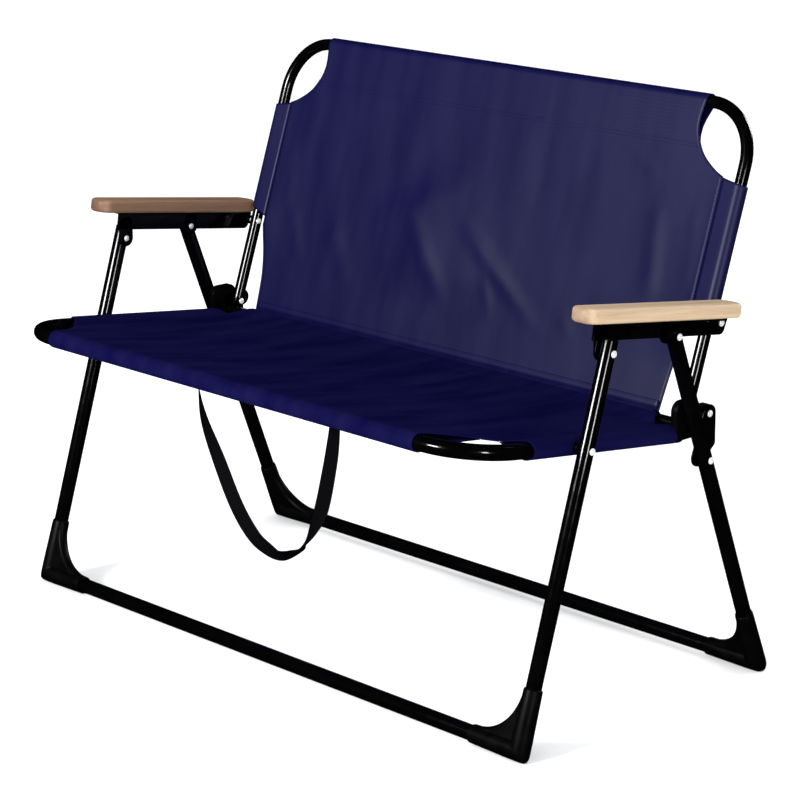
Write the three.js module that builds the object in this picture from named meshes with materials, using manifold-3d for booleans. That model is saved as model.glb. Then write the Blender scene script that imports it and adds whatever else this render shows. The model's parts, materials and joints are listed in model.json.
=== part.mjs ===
// Folding two-seat camp chair: painted tube frame, wooden arms, two canvas slings and a carry strap.
// Millimetres, +Z up. The sitter looks towards -Y and the sitter's left hand is on +X.
import * as THREE from "three";
import { mergeVertices } from "three/addons/utils/BufferGeometryUtils.js";
import Module from "manifold-3d";

const wasm = await Module();
wasm.setup();

// Driving sizes: tubes, plates and cloth
const footSpan = 1060;
const legTube = 22;
const seatTube = 22;
const backTube = 18;
const rearBarTube = 16;
const steelPlate = 2.9;
const cloth = 1.4;
const rivetShank = 6;
const rivetHead = 10;
const rivetHeadTall = 2.4;

// Driving sizes: pivots in the side view, measured from the middle of the feet
const armPivotHeight = 528;
const frontPivotY = -80.5;
const rearPivotY = 49.5;
const seatPivotDrop = 125;
const seatPivotRun = 39.5;
const pivotSpacing = 242.5;
const backPivotDrop = 4;
const rearFootY = 241;
const linkPinReach = 200;
const linkPinBack = 19;

// Driving sizes: seat, back and arms
const seatTilt = THREE.MathUtils.degToRad(7.1);
const seatReach = 187;
const seatBend = 86;
const seatTail = 214;
const backSlope = 0.345;
const backLength = 429.3;
const backBend = 80;
const rearBarAhead = 11.5;
const rearBarDrop = 15;
const armTilt = THREE.MathUtils.degToRad(8.1);
const armLength = 317;
const armWidth = 43;
const armThick = 20;
const armOverhang = 2;
const armFrontY = -134.5;
const armRise = 30.3;
const armEdge = 3;
const flangeTall = 27;
const flangeFrontY = -92;
const flangeRearY = 176;
const ledgeRearY = 146;
const ledgeInset = 4;
const screwFrontY = -25;
const screwRearY = 115;
const screwInset = 6;
const screwLength = 12;
const eyeRadius = 13;
const footWall = 4;
const footLegLength = 85;
const footBarLength = 102;
const footFillet = 70;
const footWebThick = 18;
const floorFlat = 0.8;
const socketFloor = 2;
const strapWidth = 25;
const strapThick = 2.4;
const strapHalfSpan = 150;
const strapFall = 250;
const strapBehindFront = 68;

// Driving sizes: cloth corners and the hinge blocks
const backCornerDrop = 107;
const backCornerEase = 5;
const seatCornerRun = 103;
const seatCornerEase = 7.5;
const clothInset = 44;
const clothBelowPin = 8;
const tubePastBend = 40;
const collarFront = 195;
const collarWall = 2.2;
const blockCorner = 15;
const blockFront = 28.5;
const blockRear = 9.5;
const blockTop = 11;
const blockDrop = 15;

// Clearances
const slip = 0.3;
const clothClear = 0.6;
const armClear = 1.3;
const strapClear = 0.9;
const frontTopOverrun = 17;
const rearTopOverrun = 10;
const capTall = 3;
const overcut = 5;

// Sampling
const tubeSides = 16;
const boreSides = 12;

// Layers across the chair, from the feet inwards
const legX = footSpan / 2 - footWall - legTube / 2;
const flangeOut = legX - legTube / 2 - slip;
const flangeIn = flangeOut - steelPlate;
const blockOut = flangeIn - slip - rivetHeadTall - slip;
const seatX = blockOut - clothClear - cloth - slip - seatTube / 2;
const armOut = footSpan / 2 + armOverhang;
const armIn = armOut - armWidth;
const backX = armIn - armClear - cloth - slip - backTube / 2;
const backFace = backX + backTube / 2;
const blockIn = backFace + slip;

// Pivots in the side view as [y, z]
const A1 = [frontPivotY, armPivotHeight];
const A2 = [rearPivotY, armPivotHeight];
const A3 = [frontPivotY + pivotSpacing, armPivotHeight - backPivotDrop];
const S1 = [A1[0] - seatPivotRun, A1[1] - seatPivotDrop];
const S2 = [A3[0] - seatPivotRun, A3[1] - seatPivotDrop];
const P1 = [S2[0] + linkPinBack, S2[1]];

// Legs in the side view: the front legs run through both front pivots
const footRadius = legTube / 2 + footWall;
const floorBarZ = footRadius - floorFlat;
const frontFoot = [A1[0] - (seatPivotRun / seatPivotDrop) * (A1[1] - floorBarZ), floorBarZ];
const rearFoot = [rearFootY, floorBarZ];

// Directions in the side view
const unit = (y, z) => new THREE.Vector3(0, y, z).normalize();
const frontUp = unit(A1[0] - frontFoot[0], A1[1] - frontFoot[1]);
const rearUp = unit(A2[0] - rearFoot[0], A2[1] - rearFoot[1]);
const P2 = [A2[0] - linkPinReach * rearUp.y, A2[1] - linkPinReach * rearUp.z];
const backUp = unit(backSlope, 1);
const backFacing = new THREE.Vector3(0, -backUp.z, backUp.y);
const seatForward = new THREE.Vector3(0, -Math.cos(seatTilt), Math.sin(seatTilt));
const seatUp = new THREE.Vector3(0, Math.sin(seatTilt), Math.cos(seatTilt));
const armBack = new THREE.Vector3(0, Math.cos(armTilt), -Math.sin(armTilt));
const armUp = new THREE.Vector3(0, Math.sin(armTilt), Math.cos(armTilt));
const across = new THREE.Vector3(1, 0, 0);

// Points on the tilted planes
const at = (x, pivot) => new THREE.Vector3(x, pivot[0], pivot[1]);
const onBack = (x, s, n = 0) => at(x, S2).addScaledVector(backUp, s).addScaledVector(backFacing, n);
const onSeat = (x, f, h = 0) => at(x, S1).addScaledVector(seatForward, f).addScaledVector(seatUp, h);
const armBottomZ = (y) => armPivotHeight + armRise - Math.tan(armTilt) * y;

// The rear bar of the seat, as a place and in the seat's own plane
const rearBar = [S2[0] - rearBarAhead, S2[1] - rearBarDrop];
const rearBarOffset = at(0, rearBar).sub(at(0, S1));
const rearBarF = rearBarOffset.dot(seatForward);
const rearBarH = rearBarOffset.dot(seatUp);

// Solids from closed geometry, and back again
function toSolid(geometry) {
  const flat = geometry.index ? geometry.toNonIndexed() : geometry;
  const bare = new THREE.BufferGeometry();
  bare.setAttribute("position", flat.getAttribute("position").clone());
  const merged = mergeVertices(bare, 1e-4);
  const corners = merged.index.array;
  const kept = [];
  for (let i = 0; i < corners.length; i += 3) {
    const [a, b, c] = [corners[i], corners[i + 1], corners[i + 2]];
    if (a !== b && b !== c && c !== a) kept.push(a, b, c);
  }
  const build = (triangles) =>
    new wasm.Manifold(
      new wasm.Mesh({
        numProp: 3,
        vertProperties: new Float32Array(merged.attributes.position.array),
        triVerts: new Uint32Array(triangles),
      }),
    );
  const made = build(kept);
  if (made.volume() > 0) return made;
  const turned = [];
  for (let i = 0; i < kept.length; i += 3) turned.push(kept[i], kept[i + 2], kept[i + 1]);
  return build(turned);
}

function toGeometry(solid) {
  const mesh = solid.getMesh();
  const geometry = new THREE.BufferGeometry();
  geometry.setAttribute("position", new THREE.BufferAttribute(new Float32Array(mesh.vertProperties), 3));
  geometry.setIndex(new THREE.BufferAttribute(new Uint32Array(mesh.triVerts), 1));
  geometry.computeVertexNormals();
  return geometry;
}

const join = (solids) => solids.reduce((sum, one) => sum.add(one));
const cut = (solid, tools) => tools.reduce((rest, tool) => rest.subtract(tool), solid);
const mirrored = (solid) => solid.mirror([1, 0, 0]);

// A round rod between two points
function rod(from, to, radius, sides = tubeSides) {
  const run = to.clone().sub(from);
  const geometry = new THREE.CylinderGeometry(radius, radius, run.length(), sides);
  geometry.applyQuaternion(new THREE.Quaternion().setFromUnitVectors(new THREE.Vector3(0, 1, 0), run.normalize()));
  const middle = from.clone().add(to).multiplyScalar(0.5);
  geometry.translate(middle.x, middle.y, middle.z);
  return toSolid(geometry);
}

// A round bore or boss along the chair's width
const pin = (pivot, x0, x1, radius, sides = boreSides) => rod(at(x0, pivot), at(x1, pivot), radius, sides);

// A path that is sampled only where it is told to be
class RingPath extends THREE.Curve {
  constructor(points, tangents) {
    super();
    this.points = points;
    this.tangents = tangents;
  }
  nearest(u) {
    return Math.round(u * (this.points.length - 1));
  }
  getPoint(u) {
    return this.points[this.nearest(u)].clone();
  }
  getPointAt(u) {
    return this.getPoint(u);
  }
  getTangent(u) {
    return this.tangents[this.nearest(u)].clone();
  }
  getTangentAt(u) {
    return this.getTangent(u);
  }
  getSpacedPoints() {
    return this.points.map((p) => p.clone());
  }
}

// A tube bent into a bow: two straight legs, two quarter bends and the bar between them
function bow(place, alongDirection, halfWidth, bar, legStart, bend, radius) {
  const points = [];
  const tangents = [];
  const add = (x, s, tx, ts) => {
    points.push(place(x, s));
    tangents.push(across.clone().multiplyScalar(tx).addScaledVector(alongDirection, ts).normalize());
  };
  const turns = 7;
  add(halfWidth, legStart, 0, 1);
  for (let i = 0; i <= turns; i++) {
    const w = (i / turns) * (Math.PI / 2);
    add(halfWidth - bend + bend * Math.cos(w), bar - bend + bend * Math.sin(w), -Math.sin(w), Math.cos(w));
  }
  for (let i = 0; i <= turns; i++) {
    const w = Math.PI / 2 + (i / turns) * (Math.PI / 2);
    add(-halfWidth + bend + bend * Math.cos(w), bar - bend + bend * Math.sin(w), -Math.sin(w), Math.cos(w));
  }
  add(-halfWidth, legStart, 0, -1);
  const section = new THREE.Shape();
  for (let i = 0; i < tubeSides; i++) {
    const w = (i / tubeSides) * 2 * Math.PI;
    if (i === 0) section.moveTo(radius, 0);
    else section.lineTo(radius * Math.cos(w), radius * Math.sin(w));
  }
  const path = new RingPath(points, tangents);
  return toSolid(new THREE.ExtrudeGeometry(section, { steps: points.length - 1, extrudePath: path }));
}

// A flat plate in the side view, from x0 to x1
function slab(shape, x0, x1) {
  const geometry = new THREE.ExtrudeGeometry(shape, { depth: x1 - x0, bevelEnabled: false, curveSegments: 8 });
  geometry.applyMatrix4(new THREE.Matrix4().set(0, 0, 1, x0, 1, 0, 0, 0, 0, 1, 0, 0, 0, 0, 0, 1));
  return toSolid(geometry);
}

// The outline drawn tight round a few circles given as [y, z, radius]
function outlineRound(circles) {
  const dots = [];
  for (const [y, z, r] of circles) {
    for (let i = 0; i < 16; i++) {
      const w = (i / 16) * 2 * Math.PI;
      dots.push([y + r * Math.cos(w), z + r * Math.sin(w)]);
    }
  }
  dots.sort((a, b) => a[0] - b[0] || a[1] - b[1]);
  const half = (list) => {
    const chain = [];
    for (const p of list) {
      while (chain.length > 1) {
        const [q, r] = [chain[chain.length - 2], chain[chain.length - 1]];
        if ((r[0] - q[0]) * (p[1] - q[1]) - (r[1] - q[1]) * (p[0] - q[0]) > 1e-6) break;
        chain.pop();
      }
      chain.push(p);
    }
    return chain.slice(0, -1);
  };
  return polygon([...half(dots), ...half(dots.reverse())]);
}

function polygon(corners) {
  return new THREE.Shape(corners.map(([a, b]) => new THREE.Vector2(a, b)));
}

// A flat sheet drawn in the plane of two directions
function sheet(outline, origin, alongX, alongY, thick, segments = 6) {
  const facing = alongX.clone().cross(alongY);
  const geometry = new THREE.ExtrudeGeometry(outline, { depth: thick, bevelEnabled: false, curveSegments: segments });
  geometry.translate(0, 0, -thick / 2);
  const turn = new THREE.Matrix4().makeBasis(alongX, alongY, facing);
  geometry.applyMatrix4(turn.setPosition(origin));
  return toSolid(geometry);
}

// Rivets lie along the chair's width; a blind rivet has no inner head
function rivet(pivot, outerFace, innerFace, blind = false) {
  const shank = rivetShank / 2;
  const head = rivetHead / 2;
  const top = outerFace + slip;
  const profile = [
    [0, top + rivetHeadTall],
    [head * 0.55, top + rivetHeadTall * 0.86],
    [head * 0.9, top + rivetHeadTall * 0.45],
    [head, top],
    [shank, top],
  ];
  if (blind) {
    profile.push([shank, innerFace], [0, innerFace]);
  } else {
    const low = innerFace - slip;
    profile.push([shank, low], [head, low], [head * 0.8, low - rivetHeadTall * 0.7]);
    profile.push([0, low - rivetHeadTall]);
  }
  const geometry = new THREE.LatheGeometry(
    profile.map(([r, x]) => new THREE.Vector2(r, x)),
    boreSides,
  );
  geometry.rotateZ(-Math.PI / 2);
  geometry.translate(0, pivot[0], pivot[1]);
  return toSolid(geometry);
}

// A domed plug on the open top of a leg
function cap(x, pivot, up, overrun) {
  const r = legTube / 2;
  const profile = [
    [0, capTall],
    [r * 0.5, capTall * 0.9],
    [r * 0.85, capTall * 0.55],
    [r * 0.97, 0],
    [0, 0],
  ];
  const geometry = new THREE.LatheGeometry(
    profile.map(([radius, h]) => new THREE.Vector2(radius, h)),
    tubeSides,
  );
  geometry.applyQuaternion(new THREE.Quaternion().setFromUnitVectors(new THREE.Vector3(0, 1, 0), up));
  const base = at(x, pivot).addScaledVector(up, overrun + slip);
  geometry.translate(base.x, base.y, base.z);
  return toSolid(geometry);
}

// Materials
const paint = new THREE.MeshStandardMaterial({ color: 0x0b0b0d, roughness: 0.22, metalness: 0.35 });
const plastic = new THREE.MeshStandardMaterial({ color: 0x121214, roughness: 0.45, metalness: 0.0 });
const bright = new THREE.MeshStandardMaterial({ color: 0xdedfe2, roughness: 0.25, metalness: 0.9 });
const oak = new THREE.MeshStandardMaterial({ color: 0xc9a070, roughness: 0.55, metalness: 0.0 });
const canvas = new THREE.MeshStandardMaterial({ color: 0x1c1a52, roughness: 0.75, metalness: 0.0 });
const webbing = new THREE.MeshStandardMaterial({ color: 0x17172a, roughness: 0.85, metalness: 0.0 });

const chair = new THREE.Group();
chair.name = "folding_loveseat";
const set = new THREE.Group();
chair.add(set);

function put(name, solid, material) {
  const mesh = new THREE.Mesh(toGeometry(solid), material);
  mesh.name = name;
  set.add(mesh);
}

// A node on both sides of the chair, drawn once for the left
function putBoth(name, solid, material) {
  put(name + "_left", solid, material);
  put(name + "_right", mirrored(solid), material);
}

const boreRadius = rivetShank / 2 + slip;
const bore = (pivot, x0, x1) => pin(pivot, x0, x1, boreRadius);

// Corner foot: a round elbow with a sharp outside corner, a curved gusset and a flat sole
function cornerFoot(foot, up) {
  const corner = at(legX, foot);
  const rise = corner.clone().addScaledVector(up, footLegLength);
  const inside = corner.clone().addScaledVector(across, -footBarLength + footRadius);
  const under = corner.clone().addScaledVector(up, -2 * footRadius);
  const outside = corner.clone().addScaledVector(across, 2 * footRadius);
  const elbow = rod(under, rise, footRadius).intersect(rod(inside, outside, footRadius));
  const legPart = rod(corner, rise, footRadius);
  const barPart = rod(inside, corner, footRadius);
  const dip = footRadius - 1.5;
  const gusset = new THREE.Shape();
  gusset.moveTo(0, 0);
  gusset.lineTo(-dip - footFillet, 0);
  gusset.lineTo(-dip - footFillet, dip);
  gusset.absarc(-dip - footFillet, dip + footFillet, footFillet, -Math.PI / 2, 0, false);
  gusset.lineTo(0, dip + footFillet);
  const web = sheet(gusset, corner, across, up, footWebThick);
  return { solid: join([elbow, legPart, barPart, web]), corner };
}

function footNode(foot, up) {
  const { solid, corner } = cornerFoot(foot, up);
  const legBore = rod(
    corner.clone().addScaledVector(up, legTube / 2 + socketFloor),
    corner.clone().addScaledVector(up, footLegLength + overcut),
    legTube / 2 + slip,
  );
  const barBore = rod(
    corner.clone().addScaledVector(across, -footBarLength - overcut),
    corner.clone().addScaledVector(across, -legTube / 2 - socketFloor),
    legTube / 2 + slip,
  );
  return cut(solid, [legBore, barBore]).trimByPlane([0, 0, 1], 0);
}

// Legs and floor bars
function legNode(foot, pivot, up, overrun, bores) {
  const low = at(legX, foot).addScaledVector(up, legTube / 2 + socketFloor + slip);
  const high = at(legX, pivot).addScaledVector(up, overrun);
  return cut(
    rod(low, high, legTube / 2),
    bores.map((one) => bore(one, legX - legTube, legX + legTube)),
  );
}

function floorBar(foot) {
  const end = legX - legTube / 2 - socketFloor - slip;
  return rod(at(-end, foot), at(end, foot), legTube / 2);
}

putBoth("rear_leg", legNode(rearFoot, A2, rearUp, rearTopOverrun, [A2, P2]), paint);
put("rear_floor_bar", floorBar(rearFoot), paint);
putBoth("rear_foot", footNode(rearFoot, rearUp), plastic);
putBoth("rear_leg_cap", cap(legX, A2, rearUp, rearTopOverrun), plastic);
const legFace = legX + legTube / 2;
putBoth("link_low_rivet", rivet(P2, legFace, flangeIn), bright);

putBoth("front_leg", legNode(frontFoot, A1, frontUp, frontTopOverrun, [A1, S1]), paint);
put("front_floor_bar", floorBar(frontFoot), paint);
putBoth("front_foot", footNode(frontFoot, frontUp), plastic);
putBoth("front_leg_cap", cap(legX, A1, frontUp, frontTopOverrun), plastic);

// Side links between the rear legs and the seat hinge
const linkOutline = outlineRound([
  [...P1, eyeRadius],
  [...P2, eyeRadius],
  [P1[0] + eyeRadius / 2, P2[1] + 1.25 * eyeRadius, eyeRadius / 2],
]);
const linkPlate = cut(slab(linkOutline, flangeIn, flangeOut), [
  bore(P1, flangeIn - overcut, flangeOut + overcut),
  bore(P2, flangeIn - overcut, flangeOut + overcut),
]);
putBoth("side_link", linkPlate, paint);
putBoth("link_top_rivet", rivet(P1, flangeOut, flangeIn + slip, true), bright);

// Armrests: bracket with a hanging flange, wood on top, screws from below
const bottom = (y) => armBottomZ(y) - slip;
const plateDrop = steelPlate / Math.cos(armTilt);
const flangeDrop = flangeTall / Math.cos(armTilt);
const strip = polygon([
  [flangeFrontY, bottom(flangeFrontY) - flangeDrop],
  [A3[0], bottom(A3[0]) - flangeDrop],
  [flangeRearY, bottom(flangeRearY) - flangeDrop * 0.55],
  [flangeRearY, bottom(flangeRearY)],
  [flangeFrontY, bottom(flangeFrontY)],
]);
const topPlate = polygon([
  [flangeFrontY, bottom(flangeFrontY) - plateDrop],
  [ledgeRearY, bottom(ledgeRearY) - plateDrop],
  [ledgeRearY, bottom(ledgeRearY)],
  [flangeFrontY, bottom(flangeFrontY)],
]);
const lobe = outlineRound([
  [...A1, eyeRadius],
  [A1[0], bottom(A1[0]) - 1.5 * eyeRadius, eyeRadius],
]);
const eye = outlineRound([
  [...A2, eyeRadius],
  [A2[0], bottom(A2[0]) - 1.2 * eyeRadius, eyeRadius],
]);
const screwSpots = [screwFrontY, screwRearY];
const screwX = (legX + armOut) / 2 - screwInset;
const screwAt = (y) => new THREE.Vector3(screwX, y, bottom(y));
const screwBore = rivetShank / 4 + slip;
const bracket = cut(
  join([
    slab(strip, flangeIn, flangeOut),
    slab(topPlate, armIn + ledgeInset, armOut - ledgeInset),
    slab(lobe, flangeIn, flangeOut),
    slab(eye, flangeIn, flangeOut),
  ]),
  [
    ...[A1, A2, A3].map((one) => bore(one, flangeIn - overcut, flangeOut + overcut)),
    ...screwSpots.map((y) =>
      rod(
        screwAt(y).addScaledVector(armUp, -plateDrop * 2),
        screwAt(y).addScaledVector(armUp, overcut),
        screwBore,
        boreSides,
      ),
    ),
  ],
);
putBoth("arm_bracket", bracket, paint);

function armWood() {
  const w = armWidth / 2 - armEdge;
  const l = armLength - 2 * armEdge;
  const round = w * 0.86;
  const plan = new THREE.Shape();
  plan.moveTo(-w, round);
  plan.absarc(-w + round, round, round, Math.PI, 1.5 * Math.PI, false);
  plan.absarc(w - round, round, round, 1.5 * Math.PI, 2 * Math.PI, false);
  plan.absarc(w - round, l - round, round, 0, 0.5 * Math.PI, false);
  plan.absarc(-w + round, l - round, round, 0.5 * Math.PI, Math.PI, false);
  const geometry = new THREE.ExtrudeGeometry(plan, {
    depth: armThick - 2 * armEdge,
    bevelEnabled: true,
    bevelThickness: armEdge,
    bevelSize: armEdge,
    bevelSegments: 2,
    curveSegments: 5,
  });
  geometry.translate(0, armEdge, armEdge);
  const turn = new THREE.Matrix4().makeBasis(across, armBack, armUp);
  const start = new THREE.Vector3((armIn + armOut) / 2, armFrontY, armBottomZ(armFrontY));
  geometry.applyMatrix4(turn.setPosition(start));
  const holes = screwSpots.map((y) =>
    rod(
      screwAt(y).addScaledVector(armUp, -overcut),
      screwAt(y).addScaledVector(armUp, screwLength + slip),
      screwBore,
      boreSides,
    ),
  );
  return cut(toSolid(geometry), holes);
}
putBoth("arm_wood", armWood(), oak);

function armScrew(y) {
  const shank = rivetShank / 4;
  const head = rivetHead * 0.45;
  const under = -steelPlate - slip;
  const profile = [
    [0, screwLength],
    [shank, screwLength],
    [shank, under],
    [head, under],
    [head * 0.75, under - 1.6],
    [0, under - 2],
  ];
  const geometry = new THREE.LatheGeometry(
    profile.map(([r, h]) => new THREE.Vector2(r, h)),
    boreSides,
  );
  geometry.applyQuaternion(new THREE.Quaternion().setFromUnitVectors(new THREE.Vector3(0, 1, 0), armUp));
  const spot = screwAt(y);
  geometry.translate(spot.x, spot.y, spot.z);
  return toSolid(geometry);
}
putBoth("arm_screw_front", armScrew(screwSpots[0]), bright);
putBoth("arm_screw_rear", armScrew(screwSpots[1]), bright);

putBoth("front_arm_rivet", rivet(A1, legFace, flangeIn), bright);
putBoth("rear_arm_rivet", rivet(A2, legFace, flangeIn), bright);
putBoth("back_arm_rivet", rivet(A3, flangeOut, backX - backTube / 2), bright);
const backSpacer = cut(pin(A3, backFace + slip, flangeIn - slip, rivetShank + 1), [
  bore(A3, backFace - overcut, flangeIn + overcut),
]);
putBoth("back_arm_spacer", backSpacer, plastic);

// Back frame: two straight sides and a bow over the top, met under the cloth sleeves
const backSplit = backLength - backBend - tubePastBend;
const endBall = new THREE.SphereGeometry(backTube / 2, tubeSides, 8);
endBall.rotateX(-Math.atan(backSlope) + Math.PI / 2);
endBall.translate(backX, S2[0], S2[1]);
const roundEnd = toSolid(endBall);
const backSide = cut(join([rod(onBack(backX, 0), onBack(backX, backSplit - slip), backTube / 2), roundEnd]), [
  bore(S2, backX - backTube, backX + backTube),
  bore(A3, backX - backTube, backX + backTube),
]);
putBoth("back_side", backSide, paint);
const backRadius = backTube / 2;
put("back_bow", bow(onBack, backUp, backX, backLength, backSplit, backBend, backRadius), paint);

// Back sling: a panel in the plane of the frame with sleeves round the sides and the top
const sleeve = (tube) => tube / 2 + slip + cloth;
const backTopEnd = backX - backBend - backCornerEase;
const backSideTop = backLength - backCornerDrop;
const backPinS = at(0, A3).sub(at(0, S2)).dot(backUp);
const backSideLow = backPinS + rivetHead / 2 + overcut;
const lowHalf = backX - clothInset;
const panelLow = -clothBelowPin;
const backEdge = new THREE.Shape();
backEdge.moveTo(-lowHalf, panelLow);
backEdge.lineTo(lowHalf, panelLow);
const lowSteps = [
  [lowHalf - 1, 52],
  [lowHalf + 8, 78],
  [lowHalf + 16, 108],
  [lowHalf + 19, backSideLow - 10],
  [lowHalf + 26, backSideLow],
  [backX, backSideLow],
];
lowSteps.forEach(([x, s]) => backEdge.lineTo(x, s));
backEdge.lineTo(backX, backSideTop);
const cutCurve = [
  [backX - 23, backSideTop + 4],
  [backX - 46, backSideTop + 14],
  [backX - 70, backSideTop + 32],
  [backX - 84, backSideTop + 54],
  [backX - 89, backSideTop + 76],
  [backTopEnd, backLength],
];
backEdge.splineThru(cutCurve.map(([x, s]) => new THREE.Vector2(x, s)));
backEdge.lineTo(-backTopEnd, backLength);
const cutBack = cutCurve
  .slice(0, -1)
  .reverse()
  .map(([x, s]) => new THREE.Vector2(-x, s));
backEdge.splineThru([...cutBack, new THREE.Vector2(-backX, backSideTop)]);
[...lowSteps].reverse().forEach(([x, s]) => backEdge.lineTo(-x, s));
const backPanel = sheet(backEdge, at(0, S2), across, backUp, cloth, 2);
const backSleeves = [1, -1].map((side) =>
  rod(onBack(side * backX, backSideLow), onBack(side * backX, backSideTop), sleeve(backTube)),
);
const topSleeve = rod(onBack(-backTopEnd, backLength), onBack(backTopEnd, backLength), sleeve(backTube));
const backRoom = [1, -1].map((side) =>
  rod(onBack(side * backX, -40), onBack(side * backX, backLength - backBend), backRadius + slip),
);
const topRoom = bow(onBack, backUp, backX, backLength, backSideTop - 30, backBend, backRadius + slip);
const backSling = cut(join([backPanel, ...backSleeves, topSleeve]), [...backRoom, topRoom]);
put("back_sling", backSling, canvas);

// Seat frame: two straight sides, a bow across the front, a bar at the rear and two hinge blocks
const seatRadius = seatTube / 2;
const seatSplit = seatReach - seatBend - tubePastBend;
const seatSide = cut(rod(onSeat(seatX, -seatTail), onSeat(seatX, seatSplit - slip), seatRadius), [
  bore(S1, seatX - seatRadius + 2, seatX + seatTube),
]);
putBoth("seat_side", seatSide, paint);
put("seat_bow", bow(onSeat, seatForward, seatX, seatReach, seatSplit, seatBend, seatRadius), paint);
const rearBarEnd = blockOut - 3;
const rearBarRadius = rearBarTube / 2;
put("seat_rear_bar", rod(at(-rearBarEnd, rearBar), at(rearBarEnd, rearBar), rearBarRadius), paint);

const blockOutline = outlineRound([
  [S2[0] - blockFront, S2[1] + blockTop, blockCorner],
  [S2[0] - blockRear, S2[1] + blockTop, blockCorner],
  [S2[0] - blockFront, S2[1] - blockDrop, blockCorner],
  [S2[0] - blockRear, S2[1] - blockDrop, blockCorner],
]);
const lugOutline = outlineRound([
  [S2[0] - blockRear, S2[1], eyeRadius],
  [...P1, eyeRadius],
]);
const block = cut(
  join([
    slab(blockOutline, blockIn, blockOut),
    slab(lugOutline, blockIn, blockOut),
    pin(P1, blockOut - 1, flangeIn - slip, eyeRadius - socketFloor, tubeSides),
    rod(onSeat(seatX, -seatTail - overcut), onSeat(seatX, -collarFront), seatRadius + collarWall),
  ]),
  [
    rod(onSeat(seatX, -seatTail - slip), onSeat(seatX, -collarFront + 30), seatRadius + slip),
    pin(rearBar, 0, rearBarEnd + slip, rearBarRadius + slip, tubeSides),
    bore(S2, blockIn - backTube, blockOut + overcut),
  ],
);
putBoth("seat_hinge_block", block, plastic);
putBoth("seat_front_rivet", rivet(S1, legFace, seatX - seatRadius + 2 + slip, true), bright);
putBoth("seat_rear_rivet", rivet(S2, blockOut, backX - backTube / 2), bright);
const seatFace = seatX + seatRadius;
const seatSpacer = cut(pin(S1, seatFace + slip, flangeOut, rivetShank + 1), [bore(S1, seatFace - overcut, legX)]);
putBoth("seat_front_spacer", seatSpacer, plastic);

// Seat sling: a panel from the front bow to the rear bar, with sleeves on all four sides
const seatSlope = rearBarH / (seatReach - rearBarF);
const panelForward = seatForward.clone().addScaledVector(seatUp, -seatSlope).normalize();
const panelUp = new THREE.Vector3(0, -panelForward.z, panelForward.y).negate();
const panelAt = onSeat(0, seatReach);
const seatFrontEnd = seatX - seatBend - seatCornerEase;
const seatSideFront = -seatCornerRun;
const sideEnd = socketFloor - collarFront;
const seatSideRear = sideEnd - seatReach;
const panelRear = rearBarF - seatReach;
const rearHalf = lowHalf;
const seatEdge = new THREE.Shape();
seatEdge.moveTo(seatFrontEnd, 0);
const seatCut = [
  [seatFrontEnd + 4, -16],
  [seatFrontEnd + 14, -36],
  [seatFrontEnd + 34, -59],
  [seatFrontEnd + 58, -79],
  [seatX - 16, seatSideFront + 9],
  [seatX, seatSideFront],
];
seatEdge.splineThru(seatCut.map(([x, f]) => new THREE.Vector2(x, f)));
seatEdge.lineTo(seatX, seatSideRear);
seatEdge.lineTo(rearHalf + 12, seatSideRear - 2);
seatEdge.lineTo(rearHalf, panelRear);
seatEdge.lineTo(-rearHalf, panelRear);
seatEdge.lineTo(-rearHalf - 12, seatSideRear - 2);
seatEdge.lineTo(-seatX, seatSideRear);
seatEdge.lineTo(-seatX, seatSideFront);
const seatCutBack = seatCut
  .slice(0, -1)
  .reverse()
  .map(([x, f]) => new THREE.Vector2(-x, f));
seatEdge.splineThru([...seatCutBack, new THREE.Vector2(-seatFrontEnd, 0)]);
const seatPanel = sheet(seatEdge, panelAt, across, panelForward, cloth, 2);
const sideStart = seatReach + seatSideFront;
const seatSleeves = [1, -1].map((side) =>
  rod(onSeat(side * seatX, sideEnd), onSeat(side * seatX, sideStart), sleeve(seatTube)),
);
const frontSleeve = rod(onSeat(-seatFrontEnd, seatReach), onSeat(seatFrontEnd, seatReach), sleeve(seatTube));
const rearSleeve = rod(at(-rearHalf, rearBar), at(rearHalf, rearBar), sleeve(rearBarTube));
const seatRoom = [1, -1].flatMap((side) => [
  rod(onSeat(side * seatX, -seatTail - 40), onSeat(side * seatX, seatReach - seatBend), seatRadius + slip),
  pin(S1, side * (seatX + 4), side * (seatX + 40), rivetShank + 1 + slip),
]);
const frontRoom = bow(onSeat, seatForward, seatX, seatReach, seatSplit - 20, seatBend, seatRadius + slip);
const rearRoom = pin(rearBar, -rearBarEnd, rearBarEnd, rearBarRadius + slip, tubeSides);
const seatSling = cut(join([seatPanel, ...seatSleeves, frontSleeve, rearSleeve]), [
  ...seatRoom,
  frontRoom,
  rearRoom,
]);
put("seat_sling", seatSling, canvas);

// Carry strap: a webbing loop hung from the seam under the front of the seat
const strapTop = panelAt.clone().addScaledVector(panelForward, -strapBehindFront);
strapTop.addScaledVector(panelUp, -cloth / 2 - strapClear);
const strapLine = new THREE.CatmullRomCurve3(
  [
    [-1.0, 0],
    [-0.9, -0.32],
    [-0.5, -0.78],
    [0.2, -1],
    [0.68, -0.74],
    [0.95, -0.34],
    [1.0, 0],
  ].map(([x, z]) => new THREE.Vector3(x * strapHalfSpan, z * strapFall, 0)),
);
const strapSteps = 24;
const outerEdge = [];
const innerEdge = [];
for (let i = 0; i <= strapSteps; i++) {
  const p = strapLine.getPointAt(i / strapSteps);
  const t = strapLine.getTangentAt(i / strapSteps);
  if (i === 0 || i === strapSteps) t.set(0, i === 0 ? -1 : 1, 0);
  outerEdge.push([p.x + (t.y * strapWidth) / 2, p.y - (t.x * strapWidth) / 2]);
  innerEdge.push([p.x - (t.y * strapWidth) / 2, p.y + (t.x * strapWidth) / 2]);
}
const strapShape = polygon([...outerEdge, ...innerEdge.reverse()]);
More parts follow.
